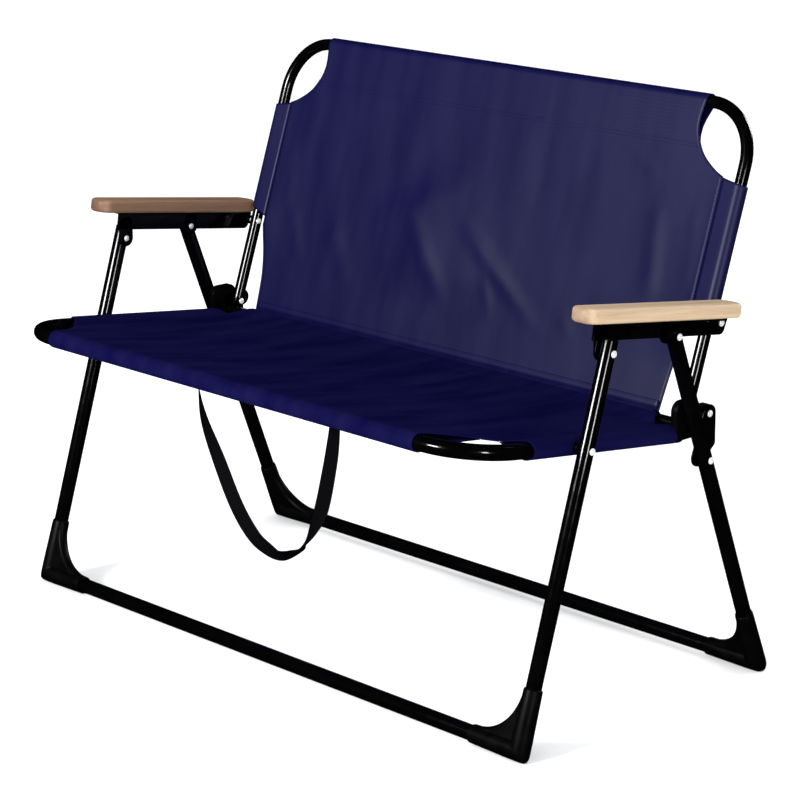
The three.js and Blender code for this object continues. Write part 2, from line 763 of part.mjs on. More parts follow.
const strap = sheet(strapShape, strapTop, across, new THREE.Vector3(0, 0, 1), strapThick);
put("carry_strap", strap, webbing);

// Stand the chair on the floor with its box centred on the origin
const box = new THREE.Box3().setFromObject(set);
const shift = new THREE.Vector3(0, -(box.min.y + box.max.y) / 2, -box.min.z);
set.position.copy(shift);
const placed = ([y, z]) => [y + shift.y, z + shift.z];
const spot = (v) => v.clone().add(shift).toArray();
const soleX = legX - footBarLength / 2;
const sole = (side, foot) => spot(new THREE.Vector3(side * soleX, foot[0], -shift.z));
const armMiddle = new THREE.Vector3((armIn + armOut) / 2, armFrontY, armBottomZ(armFrontY));
armMiddle.addScaledVector(armBack, armLength / 2).addScaledVector(armUp, armThick);
const seatMiddle = panelAt.clone().addScaledVector(panelForward, panelRear / 2).addScaledVector(panelUp, cloth / 2);
const flip = (v) => v.clone().setX(-v.x);
chair.userData.pivots = {
  front_arm: placed(A1),
  rear_arm: placed(A2),
  back_arm: placed(A3),
  seat_front: placed(S1),
  seat_rear: placed(S2),
  link_top: placed(P1),
  link_low: placed(P2),
  strap: placed([strapTop.y, strapTop.z]),
};
chair.userData.directions = { arm_up: armUp.toArray(), seat_up: panelUp.toArray() };
chair.userData.faces = {
  sole_front_left: sole(1, frontFoot),
  sole_front_right: sole(-1, frontFoot),
  sole_rear_left: sole(1, rearFoot),
  sole_rear_right: sole(-1, rearFoot),
  arm_top_left: spot(armMiddle),
  arm_top_right: spot(flip(armMiddle)),
  seat_top: spot(seatMiddle),
};

// See-through spaces as [low corner, high corner]
const backGapLow = onBack(backX - backBend + 20, backLength - backBend + 13);
const backGapHigh = onBack(backX - backBend + 44, backLength - backBend + 46);
const seatGapLow = onSeat(seatX - seatBend + 34, seatReach - seatBend + 48);
const seatGapHigh = onSeat(seatX - seatBend + 48, seatReach - seatBend + 34);
const grow = (low, high, dy, dz) => [
  [low.x, low.y - dy + shift.y, low.z - dz + shift.z],
  [high.x, high.y + dy + shift.y, high.z + dz + shift.z],
];
const loopLow = strapTop.clone().add(new THREE.Vector3(-strapHalfSpan * 0.5, -40, -strapFall * 0.6));
const loopHigh = strapTop.clone().add(new THREE.Vector3(strapHalfSpan * 0.6, 40, -strapFall * 0.08));
chair.userData.gaps = {
  back_corner: grow(backGapLow, backGapHigh, 25, 0),
  seat_corner: grow(seatGapLow, seatGapHigh, 0, 30),
  strap_loop: grow(loopLow, loopHigh, 0, 0),
};

export default chair;
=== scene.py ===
# %% [markdown]
# # A folding camp loveseat
# Two people sit side by side on a canvas seat and lean on a canvas back. Both are stretched over bent
# black tubes. Two leg frames meet under the wooden arms, and everything folds flat. This lesson dresses
# the bare model piece by piece. Every smooth part is a surface worked out as a whole grid of points, so
# one line of numpy moves a whole part.

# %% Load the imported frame
import json
import math

import bmesh
import bpy
import numpy as np
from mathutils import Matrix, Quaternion, Vector

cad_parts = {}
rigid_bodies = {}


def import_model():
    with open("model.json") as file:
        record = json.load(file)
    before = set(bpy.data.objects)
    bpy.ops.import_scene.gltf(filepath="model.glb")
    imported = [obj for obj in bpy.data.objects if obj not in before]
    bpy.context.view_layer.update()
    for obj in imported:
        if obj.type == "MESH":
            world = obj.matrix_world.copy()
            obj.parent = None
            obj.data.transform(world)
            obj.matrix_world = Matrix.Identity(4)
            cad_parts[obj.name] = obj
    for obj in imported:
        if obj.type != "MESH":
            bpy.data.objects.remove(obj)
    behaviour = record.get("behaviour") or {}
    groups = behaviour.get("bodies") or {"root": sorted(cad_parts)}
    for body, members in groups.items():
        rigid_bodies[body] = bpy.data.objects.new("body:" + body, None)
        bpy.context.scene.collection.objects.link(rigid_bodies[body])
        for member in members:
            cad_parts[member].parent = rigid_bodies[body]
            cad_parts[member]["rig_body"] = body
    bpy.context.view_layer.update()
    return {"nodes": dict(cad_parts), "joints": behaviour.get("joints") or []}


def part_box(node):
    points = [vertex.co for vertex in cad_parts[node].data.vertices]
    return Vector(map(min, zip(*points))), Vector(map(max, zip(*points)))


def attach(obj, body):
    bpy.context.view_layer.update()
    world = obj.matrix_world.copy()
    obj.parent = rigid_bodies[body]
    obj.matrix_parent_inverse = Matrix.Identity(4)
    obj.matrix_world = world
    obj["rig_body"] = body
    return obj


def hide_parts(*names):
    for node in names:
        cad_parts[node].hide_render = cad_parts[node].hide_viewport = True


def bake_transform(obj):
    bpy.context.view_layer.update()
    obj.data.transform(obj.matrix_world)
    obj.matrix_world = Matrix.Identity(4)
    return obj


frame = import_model()

# %% [markdown]
# ## The camera
# The picture was taken from the front and a little above, with a long lens, so the far side is hardly
# smaller than the near one. Turning the camera by hand would take many tries. The azimuth, height,
# small roll and focal length were solved from the feet and pivots instead, and the camera is placed
# along that line of sight.

# %% Place the camera
photo_side = 800
photo_focal = 2866.31
camera_turn = math.radians(46.6666)
camera_rise = math.radians(15.3768)
camera_roll = math.radians(-0.46055)
camera_distance = 4.16179
camera_target = Vector((0.05607, 0.0, 0.36341))
camera_back = Vector((
    math.sin(camera_turn) * math.cos(camera_rise),
    -math.cos(camera_turn) * math.cos(camera_rise),
    math.sin(camera_rise),
))
lens = bpy.data.cameras.new("photo_camera")
lens.sensor_width = 36
lens.lens = lens.sensor_width * photo_focal / photo_side
camera = bpy.data.objects.new("photo_camera", lens)
camera.location = camera_target + camera_back * camera_distance
camera.rotation_mode = "QUATERNION"
level_view = (-camera_back).to_track_quat("-Z", "Y")
camera.rotation_quaternion = level_view @ Quaternion((0, 0, 1), camera_roll)
bpy.context.scene.collection.objects.link(camera)
bpy.context.scene.camera = camera
print("camera at", [round(v, 3) for v in camera.location], "lens", round(lens.lens, 1), "mm")

# %% [markdown]
# ## Places on the chair
# A dressed part has to sit exactly where the bare one does. Typing the pivots again would let the two
# drift apart, so the joints and the boxes of the nodes are read from the frame, and only a few tube
# sizes are repeated here. All side-view places are pairs of y and z, in metres.

# %% Read pivots and layers
def joint_place(name):
    """The y and z of a joint's axis."""
    found = [joint["pos_m"] for joint in frame["joints"] if joint["name"] == name]
    return np.array(found[0][1:])


def node_box(node):
    """The lowest and highest corner of a node as two arrays."""
    low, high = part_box(node)
    return np.array(low), np.array(high)


def node_middle(node):
    """The middle of a node's box."""
    return sum(node_box(node)) / 2


front_arm_pin = joint_place("front_leg_fold")
rear_arm_pin = joint_place("armrest_fold")
back_arm_pin = joint_place("backrest_fold")
seat_rear_pin = joint_place("seat_fold")
link_low_pin = joint_place("side_link_turn")
strap_pin = joint_place("strap_swing")
seat_front_pin = front_arm_pin + seat_rear_pin - back_arm_pin
link_top_pin = node_middle("link_top_rivet_left")[1:]
front_foot = node_middle("front_floor_bar")[1:]
rear_foot = node_middle("rear_floor_bar")[1:]
leg_x = node_middle("front_leg_left")[0]
seat_x = node_middle("seat_side_left")[0]
back_x = node_middle("back_side_left")[0]
leg_radius = 0.011
seat_radius = 0.011
back_radius = 0.009
rear_bar_radius = 0.008
print("legs at x", round(leg_x, 4), "seat tubes", round(seat_x, 4), "back tubes", round(back_x, 4))


# %% Directions in the side view
def unit(vectors):
    """Vectors brought to length one along the last axis."""
    vectors = np.asarray(vectors, float)
    return vectors / np.linalg.norm(vectors, axis=-1, keepdims=True)


def upright(direction):
    """The direction a quarter turn from this one in the side view."""
    return np.array([-direction[1], direction[0]])


seat_tilt = math.radians(7.1)
seat_reach = 0.187
seat_tail = 0.214
back_reach = 0.4293
arm_tilt = math.radians(8.1)
front_leg_up = unit(front_arm_pin - front_foot)
rear_leg_up = unit(rear_arm_pin - rear_foot)
seat_forward = np.array([-math.cos(seat_tilt), math.sin(seat_tilt)])
seat_front_bar = seat_front_pin + seat_reach * seat_forward
seat_rear_bar = node_middle("seat_rear_bar")[1:]
back_top_bar = node_box("back_bow")[1][1:] - back_radius
back_up = unit(back_top_bar - seat_rear_pin)
back_facing = upright(back_up)
arm_back = np.array([math.cos(arm_tilt), -math.sin(arm_tilt)])
arm_up = upright(arm_back)
print("the back leans", round(math.degrees(math.atan2(back_up[0], back_up[1])), 1), "degrees")

# %% [markdown]
# ## Skins over grids
# A tube, a dome and a strip of cloth are all grids: rows along the part and columns round it. If a
# helper can join the points of any grid into faces, each part only needs the formula for its points.
# The ends of a closed part are filled with one flat face, so there are no open seams. Normals are made
# to point outwards once, when the mesh is made.

# %% Grid helpers
def stacked(*parts):
    """Arrays spread to one shape and set side by side along a new last axis."""
    return np.stack(np.broadcast_arrays(*parts), -1)


def at_side(x, place):
    """The point at x with this y and z."""
    return np.array([x, place[0], place[1]])


def side_points(origin, along, x, s, n):
    """Points x across the chair whose y and z are origin + s along + n upright to along."""
    normal = upright(along)
    y = origin[0] + s * along[0] + n * normal[0]
    z = origin[1] + s * along[1] + n * normal[1]
    return stacked(x, y, z)


def grid_faces(rows, columns, wrap):
    """Faces between neighbouring points of a rows by columns grid; wrap joins the last column to the
    first."""
    row = np.arange(rows - 1)[:, None]
    column = np.arange(columns if wrap else columns - 1)[None, :]
    after = (column + 1) % columns
    corners = [row * columns + column, row * columns + after]
    corners += [(row + 1) * columns + after, (row + 1) * columns + column]
    return stacked(*corners).reshape(-1, 4).tolist()


def closed_skin(rings):
    """A tube of rings with a flat face over the first and the last ring."""
    rows, columns = rings.shape[:2]
    first = list(range(columns))
    last = [(rows - 1) * columns + i for i in first]
    return rings.reshape(-1, 3), grid_faces(rows, columns, True) + [first[::-1], last]


def joined(*shapes):
    """Several shapes as one list of points and faces."""
    starts = np.cumsum([0] + [len(points) for points, _ in shapes])
    faces = [[i + int(start) for i in face] for (_, some), start in zip(shapes, starts) for face in some]
    return np.concatenate([points for points, _ in shapes]), faces


def mirrored(shape):
    """The shape on the other side of the chair, with its faces turned back outwards."""
    points, faces = shape
    return points * np.array([-1.0, 1.0, 1.0]), [face[::-1] for face in faces]


# %% Making an object
hard_crease = 38
cloth_crease = 60
same_point = 1e-6


def make_piece(name, shape, finish, body, nodes=(), uv=None, crease=hard_crease):
    """An object from a shape: outward normals, smooth shading that breaks at edges sharper than crease
    degrees."""
    points, faces = shape
    mesh = bpy.data.meshes.new(name)
    mesh.from_pydata(np.asarray(points).tolist(), [], faces)
    if uv is not None:
        corner_points = np.empty(len(mesh.loops), int)
        mesh.loops.foreach_get("vertex_index", corner_points)
        mesh.uv_layers.new(name="cloth").data.foreach_set("uv", np.asarray(uv)[corner_points].ravel())
    edit = bmesh.new()
    edit.from_mesh(mesh)
    bmesh.ops.remove_doubles(edit, verts=edit.verts, dist=same_point)
    bmesh.ops.recalc_face_normals(edit, faces=edit.faces)
    edit.to_mesh(mesh)
    edit.free()
    mesh.shade_smooth()
    mesh.set_sharp_from_angle(angle=math.radians(crease))
    piece = bpy.data.objects.new(name, mesh)
    bpy.context.scene.collection.objects.link(piece)
    mesh.materials.append(finish)
    if body:
        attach(piece, body)
    if nodes:
        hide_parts(*nodes)
    return piece


def make_pair(name, shape, finishes, body, node):
    """A piece on the left of the chair and its mirror on the right; finishes is one material or one
    for each."""
    left, right = finishes if isinstance(finishes, tuple) else (finishes, finishes)
    for side, one, finish in (("left", shape, left), ("right", mirrored(shape), right)):
        make_piece(name + "_" + side, one, finish, body, [node + "_" + side])


# %% [markdown]
# ## Finishes
# Paint, plastic, zinc, wood, canvas and webbing each look the way they do because of small unevenness:
# orange peel in paint, grain in plastic, threads in cloth. Photographs of them could be used as
# textures, but a pattern made from noise stays sharp at any distance. Each finish below sets its steady
# values on the shader and lets a pattern vary colour, roughness and relief a little.

# %% Finish helpers
def new_finish(name, **steady):
    """A material whose shader gets these steady values on its own sockets."""
    finish = bpy.data.materials.new(name)
    finish.use_nodes = True
    shader = finish.node_tree.nodes["Principled BSDF"]
    for socket, value in steady.items():
        shader.inputs[socket.replace("_", " ")].default_value = value
    return finish, shader


def add_node(tree, kind, settings=None, **inputs):
    """A node with its settings and input values."""
    node = tree.nodes.new(kind)
    for setting, value in (settings or {}).items():
        setattr(node, setting, value)
    for socket, value in inputs.items():
        node.inputs[socket.replace("_", " ")].default_value = value
    return node


def wire(source, target):
    """A link between two sockets of one material."""
    source.id_data.links.new(source, target)


def mapped_noise(space, mapping, **texture):
    """Noise on Object or UV coordinates that pass through a mapping node; a value round one half."""
    coordinates = add_node(mapping.id_data, "ShaderNodeTexCoord")
    grains = add_node(mapping.id_data, "ShaderNodeTexNoise", Scale=1.0, **texture)
    wire(coordinates.outputs[space], mapping.inputs["Vector"])
    wire(mapping.outputs["Vector"], grains.inputs["Vector"])
    return grains.outputs["Fac"]


def noise(finish, space, scale, detail):
    """Noise with this many grains to the metre along each axis."""
    mapping = add_node(finish.node_tree, "ShaderNodeMapping", Scale=scale)
    return mapped_noise(space, mapping, Detail=detail)


def even_noise(finish, scale, detail=3.0):
    """Noise on Object coordinates, equally fine in all directions."""
    return noise(finish, "Object", (scale, scale, scale), detail)


# %% Patterns to colour, roughness and relief
def spread(value, start, end, low, high):
    """A value between start and end spread over low to high."""
    limits = {"From_Min": start, "From_Max": end, "To_Min": low, "To_Max": high}
    node = add_node(value.id_data, "ShaderNodeMapRange", **limits)
    wire(value, node.inputs["Value"])
    return node.outputs["Result"]


def tint(value, start, dark, end, light):
    """A colour between dark and light where the value runs from start to end."""
    node = add_node(value.id_data, "ShaderNodeValToRGB")
    first, last = node.color_ramp.elements
    first.position, first.color = start, (*dark, 1)
    last.position, last.color = end, (*light, 1)
    wire(value, node.inputs["Fac"])
    return node.outputs["Color"]


def darken(colour, shade):
    """One colour multiplied by another."""
    settings = {"data_type": "RGBA", "blend_type": "MULTIPLY"}
    node = add_node(colour.id_data, "ShaderNodeMix", settings, Factor=1.0)
    wire(colour, node.inputs[6])
    wire(shade, node.inputs[7])
    return node.outputs[2]


def cover(shader, colour, roughness):
    """Wire a colour and a roughness into the shader."""
    wire(colour, shader.inputs["Base Color"])
    wire(roughness, shader.inputs["Roughness"])


def relief(shader, height, strength, depth=0.0003):
    """Raised and sunk places from a height pattern."""
    node = add_node(height.id_data, "ShaderNodeBump", Strength=strength, Distance=depth)
    wire(height, node.inputs["Height"])
    wire(node.outputs["Normal"], shader.inputs["Normal"])


# %% Black paint, black plastic and zinc with a painted reflection
paint, shader = new_finish("gloss_black_paint", Specular_IOR_Level=0.30)
clouds = even_noise(paint, 26)
blacks = tint(clouds, 0.35, (0.0004, 0.0004, 0.0005), 0.75, (0.0010, 0.0010, 0.0011))
cover(shader, blacks, spread(even_noise(paint, 70, 5.0), 0.3, 0.7, 0.10, 0.16))
relief(shader, even_noise(paint, 420, 1.0), 0.03)

plastic, shader = new_finish("satin_black_plastic", Specular_IOR_Level=0.05)
clouds = even_noise(plastic, 40)
blacks = tint(clouds, 0.3, (0.0006, 0.0006, 0.0007), 0.8, (0.0015, 0.0015, 0.0017))
cover(shader, blacks, spread(clouds, 0.3, 0.7, 0.32, 0.46))
relief(shader, even_noise(plastic, 1500, 2.0), 0.15)

# Zinc is only partly metallic, so its pale base colour shows as matt grey: a painted reflection of white
# surroundings.
zinc_painted_reflection, shader = new_finish("bright_zinc", Metallic=0.35)
patches = even_noise(zinc_painted_reflection, 600, 4.0)
painted_reflection_greys = tint(patches, 0.3, (0.66, 0.67, 0.69), 0.7, (0.92, 0.92, 0.93))
cover(shader, painted_reflection_greys, spread(patches, 0.3, 0.7, 0.20, 0.36))
relief(shader, patches, 0.1)
print("finishes:", paint.name, plastic.name, zinc_painted_reflection.name)

# %% [markdown]
# ### Varnished wood
# The arms are pale boards under a thin varnish. Their grain runs along them, and the cut front end is
# darker. A scan of a board would show the same knots on both arms. Noise drawn out along the tilted arm
# gives broad bands and fine pores instead, and a short ramp at the front end darkens the end grain. The
# far arm gets a darker, browner copy of the same wood, which is painted shade, so the finish is a
# function of two tones.

# %% Wood
end_grain_depth = 0.010
plain_white = (1.0, 1.0, 1.0)


def grain(finish, size, detail, distortion):
    """Noise whose grains have this size across, along and through the arm."""
    kind = {"vector_type": "TEXTURE"}
    turn = (-arm_tilt, 0, 0)
    mapping = add_node(finish.node_tree, "ShaderNodeMapping", kind, Scale=size, Rotation=turn)
    return mapped_noise("Object", mapping, Detail=detail, Distortion=distortion)


def wood_finish(name, dark, light):
    """Varnished wood between two tones: grain along the tilted arm, darker end grain at its front."""
    finish, shader = new_finish(name, Specular_IOR_Level=0.25, Coat_Weight=0.08, Coat_Roughness=0.3)
    bands = grain(finish, (0.014, 0.42, 0.009), 4.0, 1.0)
    pores = grain(finish, (0.0011, 0.040, 0.0011), 2.0, 0.0)
    broad = tint(bands, 0.30, dark, 0.70, light)
    fine = tint(pores, 0.28, (0.86, 0.82, 0.78), 0.50, plain_white)
    place = add_node(finish.node_tree, "ShaderNodeTexCoord")
    split = add_node(finish.node_tree, "ShaderNodeSeparateXYZ")
    wire(place.outputs["Object"], split.inputs["Vector"])
    front_end = node_box("arm_wood_left")[0][1]
    depth = spread(split.outputs["Y"], front_end, front_end + end_grain_depth, 0.0, 1.0)
    end_grain = tint(depth, 0.2, (0.48, 0.43, 0.42), 1.0, plain_white)
    cover(shader, darken(darken(broad, fine), end_grain), spread(bands, 0.3, 0.7, 0.58, 0.46))
    relief(shader, pores, 0.10)
    return finish


pale_wood = wood_finish("pale_varnished_wood", (0.40, 0.285, 0.180), (0.53, 0.40, 0.265))
# The far arm's darker, browner copy of the same wood is painted shade on that arm.
far_wood_painted_shade = wood_finish("varnished_wood_painted_shade", (0.17, 0.092, 0.055), (0.26, 0.155, 0.098))
print("finishes:", pale_wood.name, far_wood_painted_shade.name)

# %% [markdown]
# ### Canvas, webbing and thread
# The cloth is a plain weave of navy thread, with faint streaks where the dye took unevenly. Woven
# pictures would have to be laid out for every panel. Two sets of waves on the cloth's own UV map make
# the weave, so it follows every fold and sleeve. The seat is rubbed dull by use, so its canvas has no
# shine of its own, and the back's has a little. The seat's base colour is greyer instead, which is
# painted sheen.

# %% Canvas, webbing and thread
def weave_height(finish, threads_across, threads_along):
    """Height of a plain weave: waves across and along the cloth's own UV map, the higher of the two on
    top."""
    tree = finish.node_tree
    coordinates = add_node(tree, "ShaderNodeTexCoord")
    highest = add_node(tree, "ShaderNodeMath", {"operation": "MAXIMUM"})
    for place, (direction, count) in enumerate((("X", threads_across), ("Y", threads_along))):
        bands = {"bands_direction": direction}
        waves = add_node(tree, "ShaderNodeTexWave", bands, Scale=count, Distortion=0.6, Detail=1.0)
        wire(coordinates.outputs["UV"], waves.inputs["Vector"])
        wire(waves.outputs["Fac"], highest.inputs[place])
    return highest.outputs["Value"]


def canvas_finish(name, gloss, dark, light):
    """Woven navy cloth: streaks between two tones, single threads, a plain weave in relief; gloss is
    its shine."""
    finish, shader = new_finish(name, Specular_IOR_Level=gloss)
    streaks = noise(finish, "UV", (22, 5, 1), 5.0)
    threads = noise(finish, "UV", (900, 420, 1), 1.0)
    broad = tint(streaks, 0.36, dark, 0.64, light)
    fine = tint(threads, 0.25, (0.72, 0.72, 0.76), 0.75, plain_white)
    cover(shader, darken(broad, fine), spread(streaks, 0.25, 0.75, 0.38, 0.46))
    relief(shader, weave_height(finish, 190, 190), 0.16)
    return finish


canvas = canvas_finish("navy_canvas", 0.205, (0.0006, 0.0005, 0.034), (0.0026, 0.0023, 0.0405))
# The seat's canvas has no shine; its greyer base colour is painted sheen.
dull_canvas_painted_sheen = canvas_finish("dull_navy_canvas_painted_sheen", 0.0, (0.0026, 0.0024, 0.0275), (0.0054, 0.0051, 0.0360))

webbing, shader = new_finish("dark_webbing", Specular_IOR_Level=0.03)
ribs = weave_height(webbing, 150, 110)
# The webbing is darker in the hollows between its ribs and lighter on their tops: painted shade.
blacks = tint(ribs, 0.2, (0.0004, 0.0004, 0.0009), 0.9, (0.0016, 0.0016, 0.0024))
cover(shader, blacks, spread(ribs, 0.2, 0.9, 0.85, 0.6))
relief(shader, ribs, 0.4, 0.0005)

thread, shader = new_finish("navy_thread", Specular_IOR_Level=0.0)
twist = even_noise(thread, 1600, 1.0)
blues = tint(twist, 0.3, (0.0030, 0.0027, 0.031), 0.7, (0.0046, 0.0042, 0.046))
cover(shader, blues, spread(twist, 0.3, 0.7, 0.5, 0.7))
print("finishes:", canvas.name, dull_canvas_painted_sheen.name, webbing.name, thread.name)

# %% [markdown]
# ## Tubes
# The frame is bent steel tube. Blender could bevel a curve for each one, but a curve's bevel gives no
# say over its ends. A tube here is a circle carried along a path that lies in one plane: the plane's
# normal and the path's normal span each circle. The ends are rounded by letting the circle shrink over
# the last few rings.

# %% Tube functions
quarter_turn = math.pi / 2
full_turn = 2 * math.pi


def swept(path, side, radius, sides):
    """Circles round a planar path: point + radius (cos a side + sin a turned), turned being tangent
    cross side."""
    turned_side = np.cross(unit(np.gradient(path, axis=0)), side)
    angle = np.linspace(0, full_turn, sides, endpoint=False)[None, :, None]
    circle = np.cos(angle) * side + np.sin(angle) * turned_side[:, None, :]
    return path[:, None, :] + np.reshape(radius, (-1, 1, 1)) * circle


def turned(start, direction, along, radius, sides=40):
    """A closed surface of revolution: rings of the given radius at the given distances from start along
    a direction."""
    direction = unit(direction)
    helper = np.array([1.0, 0, 0]) if abs(direction[0]) < 0.9 else np.array([0, 1.0, 0])
    side = unit(np.cross(direction, helper))
    path = np.asarray(start)[None, :] + np.asarray(along)[:, None] * direction
    angle = np.linspace(0, full_turn, sides, endpoint=False)[None, :, None]
    circle = np.cos(angle) * side + np.sin(angle) * np.cross(direction, side)
    return closed_skin(path[:, None, :] + np.asarray(radius)[:, None, None] * circle)


def round_ends(length, radius, edge, steps=5):
    """Distances and radii of a rod whose end edges are quarter circles of radius edge."""
    corner = np.linspace(0, quarter_turn, steps)
    inwards = edge * (1 - np.cos(corner))
    wide = radius - edge * (1 - np.sin(corner))
    return np.concatenate([inwards, length - inwards[::-1]]), np.concatenate([wide, wide[::-1]])


def rod(start, end, radius, edge=0.0012):
    """A straight tube with rounded end edges."""
    start, end = np.asarray(start, float), np.asarray(end, float)
    along, wide = round_ends(np.linalg.norm(end - start), radius, edge)
    return turned(start, end - start, along, wide)


def cross_rod(half, place, radius):
    """A straight tube across the chair, as far to the left as to the right."""
    return rod(at_side(-half, place), at_side(half, place), radius)


# %% Legs and floor bars
top_overrun = {"front": 0.017, "rear": 0.010}
leg_runs = (
    ("front", front_foot, front_arm_pin, front_leg_up),
    ("rear", rear_foot, rear_arm_pin, rear_leg_up),
)
socket_depth = 0.030
for name, foot, pin, up in leg_runs:
    low = at_side(leg_x, foot + socket_depth * up)
    high = at_side(leg_x, pin + top_overrun[name] * up)
    leg = rod(low, high, leg_radius)
    make_pair(name + "_leg_tube", leg, paint, name + "_legs", name + "_leg")
    bar = cross_rod(leg_x - socket_depth, foot, leg_radius)
    make_piece(name + "_floor_tube", bar, paint, name + "_legs", [name + "_floor_bar"])
leg_length = float(np.linalg.norm(front_arm_pin - front_foot))
print("legs and floor bars:", round(leg_length, 3), "m from bar to pivot")

# %% [markdown]
# ### Bent tubes
# The back's tube is one long U, and so is the seat's. Each could be three straight tubes and two
# elbows, but every joint would show as a line in the paint's shine. Here the whole U is one path with
# two quarter circles in it, and one circle is carried along all of it.

# %% Bent tubes of the back and the seat
def bow_line(half, bend, tail, reach):
    """A U in its own plane as x and distance from the origin: up one side, round two quarter circles,
    down again."""
    straight = 24
    quarter = np.linspace(0, quarter_turn, 17)
    round_x = half - bend + bend * np.cos(quarter)
    round_s = reach - bend + bend * np.sin(quarter)
    side_s = np.linspace(tail, reach - bend, straight, endpoint=False)
    top_x = np.linspace(half - bend, 0, straight)[1:]
    x = np.concatenate([np.full(straight, half), round_x, top_x])
    s = np.concatenate([side_s, round_s, np.full(straight - 1, reach)])
    return np.concatenate([x, -x[-2::-1]]), np.concatenate([s, s[-2::-1]])


def bent_tube(origin, direction, half, bend, tail, reach, radius, edge):
    """A tube along a U whose plane passes through origin along direction; its ends shrink by edge."""
    path = side_points(origin, direction, *bow_line(half, bend, tail, reach), 0.0)
    corner = np.linspace(0, quarter_turn, 6)
    inwards = edge * (1 - np.cos(corner))[:, None]
    start = path[0] + inwards * unit(path[1] - path[0])
    end = path[-1] + inwards[::-1] * unit(path[-2] - path[-1])
    shrink = radius - edge * (1 - np.sin(corner))
    route = np.concatenate([start, path[1:-1], end])
    wide = np.concatenate([shrink, np.full(len(path) - 2, radius), shrink[::-1]])
    return closed_skin(swept(route, at_side(0.0, upright(direction)), wide, 36))


back_bend = 0.080
back_end_edge = back_radius * 0.8
seat_bend = 0.086
seat_end_edge = 0.0015
back_tube = bent_tube(
    seat_rear_pin, back_up, back_x, back_bend, -back_radius, back_reach, back_radius, back_end_edge
)
back_nodes = ["back_side_left", "back_side_right", "back_bow"]
make_piece("back_tube", back_tube, paint, "backrest", back_nodes)
seat_tube = bent_tube(
    seat_front_pin, seat_forward, seat_x, seat_bend, -seat_tail, seat_reach, seat_radius, seat_end_edge
)
seat_nodes = ["seat_side_left", "seat_side_right", "seat_bow"]
make_piece("seat_tube", seat_tube, paint, "seat", seat_nodes)
rear_bar = cross_rod(node_box("seat_rear_bar")[1][0], seat_rear_bar, rear_bar_radius)
make_piece("seat_rear_tube", rear_bar, paint, "seat", ["seat_rear_bar"])
print("bent tubes:", round(2 * back_x, 3), "m and", round(2 * seat_x, 3), "m wide")

# %% [markdown]
# ## Corner feet
# Each foot is a plastic elbow that holds a leg and a floor bar. Outside it has a sharp corner, inside a
# curved web with a half-round rim. A torus would be round outside as well. The elbow's rings therefore
# fan out from a point inside the bend, and each ring is pushed out to a square with slightly rounded
# corners. The sole is pressed flat at z = 0.

# %% Foot functions
foot_radius = 0.0145
foot_thin = 0.0132
foot_rise = 0.085
foot_run = 0.087
elbow_pivot = foot_radius + 0.002
elbow_squareness = 12.0
web_fillet = 0.070
web_centre = 0.0835
web_half = 0.0085
web_rim = 0.006


def elbow():
    """In-plane x, in-plane u and offset n of the elbow's rings: down the leg, fanned round the corner,
    along the bar."""
    angle = np.linspace(0, full_turn, 40, endpoint=False)[None, :]
    outwards = elbow_pivot + foot_radius * np.cos(angle)
    fan = np.linspace(0, quarter_turn, 21)[:, None]
    square = np.cos(fan) ** elbow_squareness + np.sin(fan) ** elbow_squareness
    stretch = square ** (-1 / elbow_squareness)
    fan_x = -elbow_pivot + outwards * np.cos(fan) * stretch
    fan_u = elbow_pivot - outwards * np.sin(fan) * stretch
    lip = np.array([0.0030, 0.0012, 0.0004, 0.0])[:, None]
    end_radius = foot_thin - lip
    leg_end = foot_rise - lip[::-1]
    bar_end = lip - foot_run
    flat = np.ones_like(angle)
    x = np.concatenate([end_radius * np.cos(angle), fan_x, bar_end[::-1] * flat])
    u = np.concatenate([leg_end * flat, fan_u, -end_radius[::-1] * np.cos(angle)])
    wide = np.concatenate([end_radius, np.full(fan.shape, foot_radius), end_radius[::-1]])
    return x, u, wide * np.sin(angle)


def web():
    """In-plane x and u and offset n of the curved web: a half-round rim on the fillet arc, a flat
    plate behind it."""
    turn = np.linspace(0, quarter_turn, 25)[:, None]
    rim = np.linspace(0.5 * math.pi, 1.5 * math.pi, 13)
    rim_reach = web_fillet + web_rim * (1 + np.cos(rim))[None, :]
    axis_reach = web_centre / np.maximum(np.cos(turn), np.sin(turn))
    reach = np.concatenate([rim_reach * np.ones_like(turn), axis_reach, axis_reach], axis=1)
    offset = web_half * np.concatenate([np.sin(rim), [-1.0, 1.0]])[None, :]
    return -web_centre + reach * np.cos(turn), web_centre - reach * np.sin(turn), offset


def foot_shape(foot, up):
    """The elbow and the web of the left foot, with the sole pressed flat on the floor."""
    shapes = []
    for x, u, n in (elbow(), web()):
        points = side_points(foot, up, leg_x + x, u, n)
        points[..., 2] = np.maximum(points[..., 2], 0.0)
        shapes.append(closed_skin(points))
    return joined(*shapes)


for name, foot, pin, up in leg_runs:
    corner = foot_shape(foot, up)
    make_pair(name + "_corner", corner, plastic, name + "_legs", name + "_foot")
print("four corner feet,", foot_rise, "m up the leg")

# %% [markdown]
# ## Rivets, plugs and spacers
# The pivots are zinc rivets with low domed heads, the leg tops have plastic plugs, and short bushes
# keep plates apart. The zinc's pale, partly matt finish is a painted reflection. All are turned parts,
# so one profile spun round an axis makes each of them. Their places and lengths come from the boxes of
# the bare nodes.

# %% Rivets
head_radius = 0.0050
head_tall = 0.0024
under_head = head_tall + 0.0001
shank_radius = 0.0029
inner_head_share = 0.9
plain_end_share = 0.55


def dome(tall, wide):
    """Half of a low dome from its tip: distance from the tip and radius, a quarter of an ellipse."""
    turn = np.linspace(0.08, quarter_turn, 9)
    return tall * (1 - np.cos(turn)), wide * np.sin(turn)


